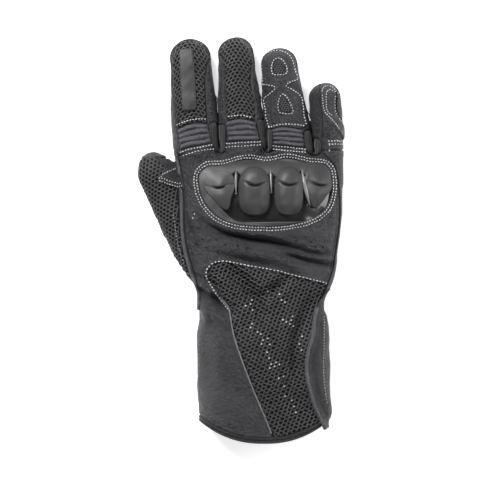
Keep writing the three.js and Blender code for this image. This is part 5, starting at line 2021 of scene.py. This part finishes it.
# The lamps: place in metres, width and height, power in watts.
LAMPS = {
    "key": ((-1.0, 1.5, 1.5), (1.1, 0.9), 90),
    "side": ((1.6, 0.5, 1.1), (0.7, 2.0), 26),
    "front": ((0.2, -1.7, 1.5), (1.4, 0.8), 12),
}
FLOOR_SIDE, FLOOR_DEPTH, FLOOR_GLOW = 4, 0.0004, 0.62
# From the glove's middle to the middle of the photo, and how high the camera hangs.
PHOTO_SHIFT = (-0.0017, 0.0001)
CAMERA_HEIGHT = 3.22


class GLOVE_OT_stage(Step, bpy.types.Operator):
    """Lays the floor, hangs the lights and sets the camera"""

    bl_idname = "glove.stage"
    bl_label = "Stage"

    def make_floor(self):
        ways = ((-1, -1), (1, -1), (1, 1), (-1, 1))
        corners = [(FLOOR_SIDE * x, FLOOR_SIDE * y, -FLOOR_DEPTH) for x, y in ways]
        mesh = bpy.data.meshes.new("floor")
        mesh.from_pydata(corners, [], [(0, 1, 2, 3)])
        paper = Finish("pale floor", 0.9, Emission_Color=(1, 1, 1, 1), Emission_Strength=FLOOR_GLOW)
        colour = colours().floor
        fine = paper.noise(300.0)
        tone = paper.blend(fine, shade(colour, 0.99), shade(colour, 1.0))
        mesh.materials.append(paper.done(tone, fine, 0.02))
        floor = bpy.data.objects.new("floor", mesh)
        bpy.context.scene.collection.objects.link(floor)

    def make_lamps(self):
        for name, (place, (wide, high), power) in LAMPS.items():
            light = bpy.data.lights.new(name, "AREA")
            light.shape, light.size, light.size_y, light.energy = "RECTANGLE", wide, high, power
            lamp = bpy.data.objects.new(name, light)
            lamp.location = place
            lamp.rotation_euler = (-Vector(place)).to_track_quat("-Z", "Y").to_euler()
            bpy.context.scene.collection.objects.link(lamp)

    def make(self):
        scene = bpy.context.scene
        self.make_floor()
        self.make_lamps()
        scene.view_settings.view_transform = "Standard"
        scene.world = bpy.data.worlds.new("studio")
        scene.world.use_nodes = True
        preset(scene.world.node_tree.nodes["Background"], Color=(1, 1, 1, 1), Strength=0.1)
        camera = bpy.data.cameras.new("camera")
        camera.sensor_width, camera.lens, camera.clip_end = 36.0, 320.0, 20
        view = bpy.data.objects.new("camera", camera)
        low, high = (Vector(corner) for corner in CAD_BOX)
        middle = (low + high) / 2
        view.location = (middle.x + PHOTO_SHIFT[0], middle.y + PHOTO_SHIFT[1], CAMERA_HEIGHT)
        scene.collection.objects.link(view)
        scene.camera = view


class GLOVE_PT_panel(bpy.types.Panel):
    """Lists the glove's sizes, colours and steps"""

    bl_label = "Summer motorcycle glove"
    bl_idname = "GLOVE_PT_panel"
    bl_space_type = "VIEW_3D"
    bl_region_type = "UI"
    bl_category = "Glove"

    def draw(self, context):
        for group in (sizes(), colours()):
            for key in group.__annotations__:
                self.layout.prop(group, key)
        for step in STEPS:
            self.layout.operator(step.bl_idname)


STEPS = (
    GLOVE_OT_finishes,
    GLOVE_OT_form,
    GLOVE_OT_hem,
    GLOVE_OT_gussets,
    GLOVE_OT_fingers,
    GLOVE_OT_thumb,
    GLOVE_OT_cuff,
    GLOVE_OT_guard,
    GLOVE_OT_hand,
    GLOVE_OT_sewing,
    GLOVE_OT_stage,
)
CLASSES = (GloveSizes, GloveColours, *STEPS, GLOVE_PT_panel)


def register():
    for made in CLASSES:
        bpy.utils.register_class(made)
    bpy.types.Scene.glove_sizes = bpy.props.PointerProperty(type=GloveSizes)
    bpy.types.Scene.glove_colours = bpy.props.PointerProperty(type=GloveColours)


def unregister():
    del bpy.types.Scene.glove_colours
    del bpy.types.Scene.glove_sizes
    for made in reversed(CLASSES):
        bpy.utils.unregister_class(made)


def main():
    register()
    bpy.ops.glove.finishes()
    bpy.ops.glove.form()
    bpy.ops.glove.hem()
    bpy.ops.glove.gussets()
    bpy.ops.glove.fingers()
    bpy.ops.glove.thumb()
    bpy.ops.glove.cuff()
    bpy.ops.glove.guard()
    bpy.ops.glove.hand()
    bpy.ops.glove.sewing()
    bpy.ops.glove.stage()


if __name__ == "__main__":
    main()
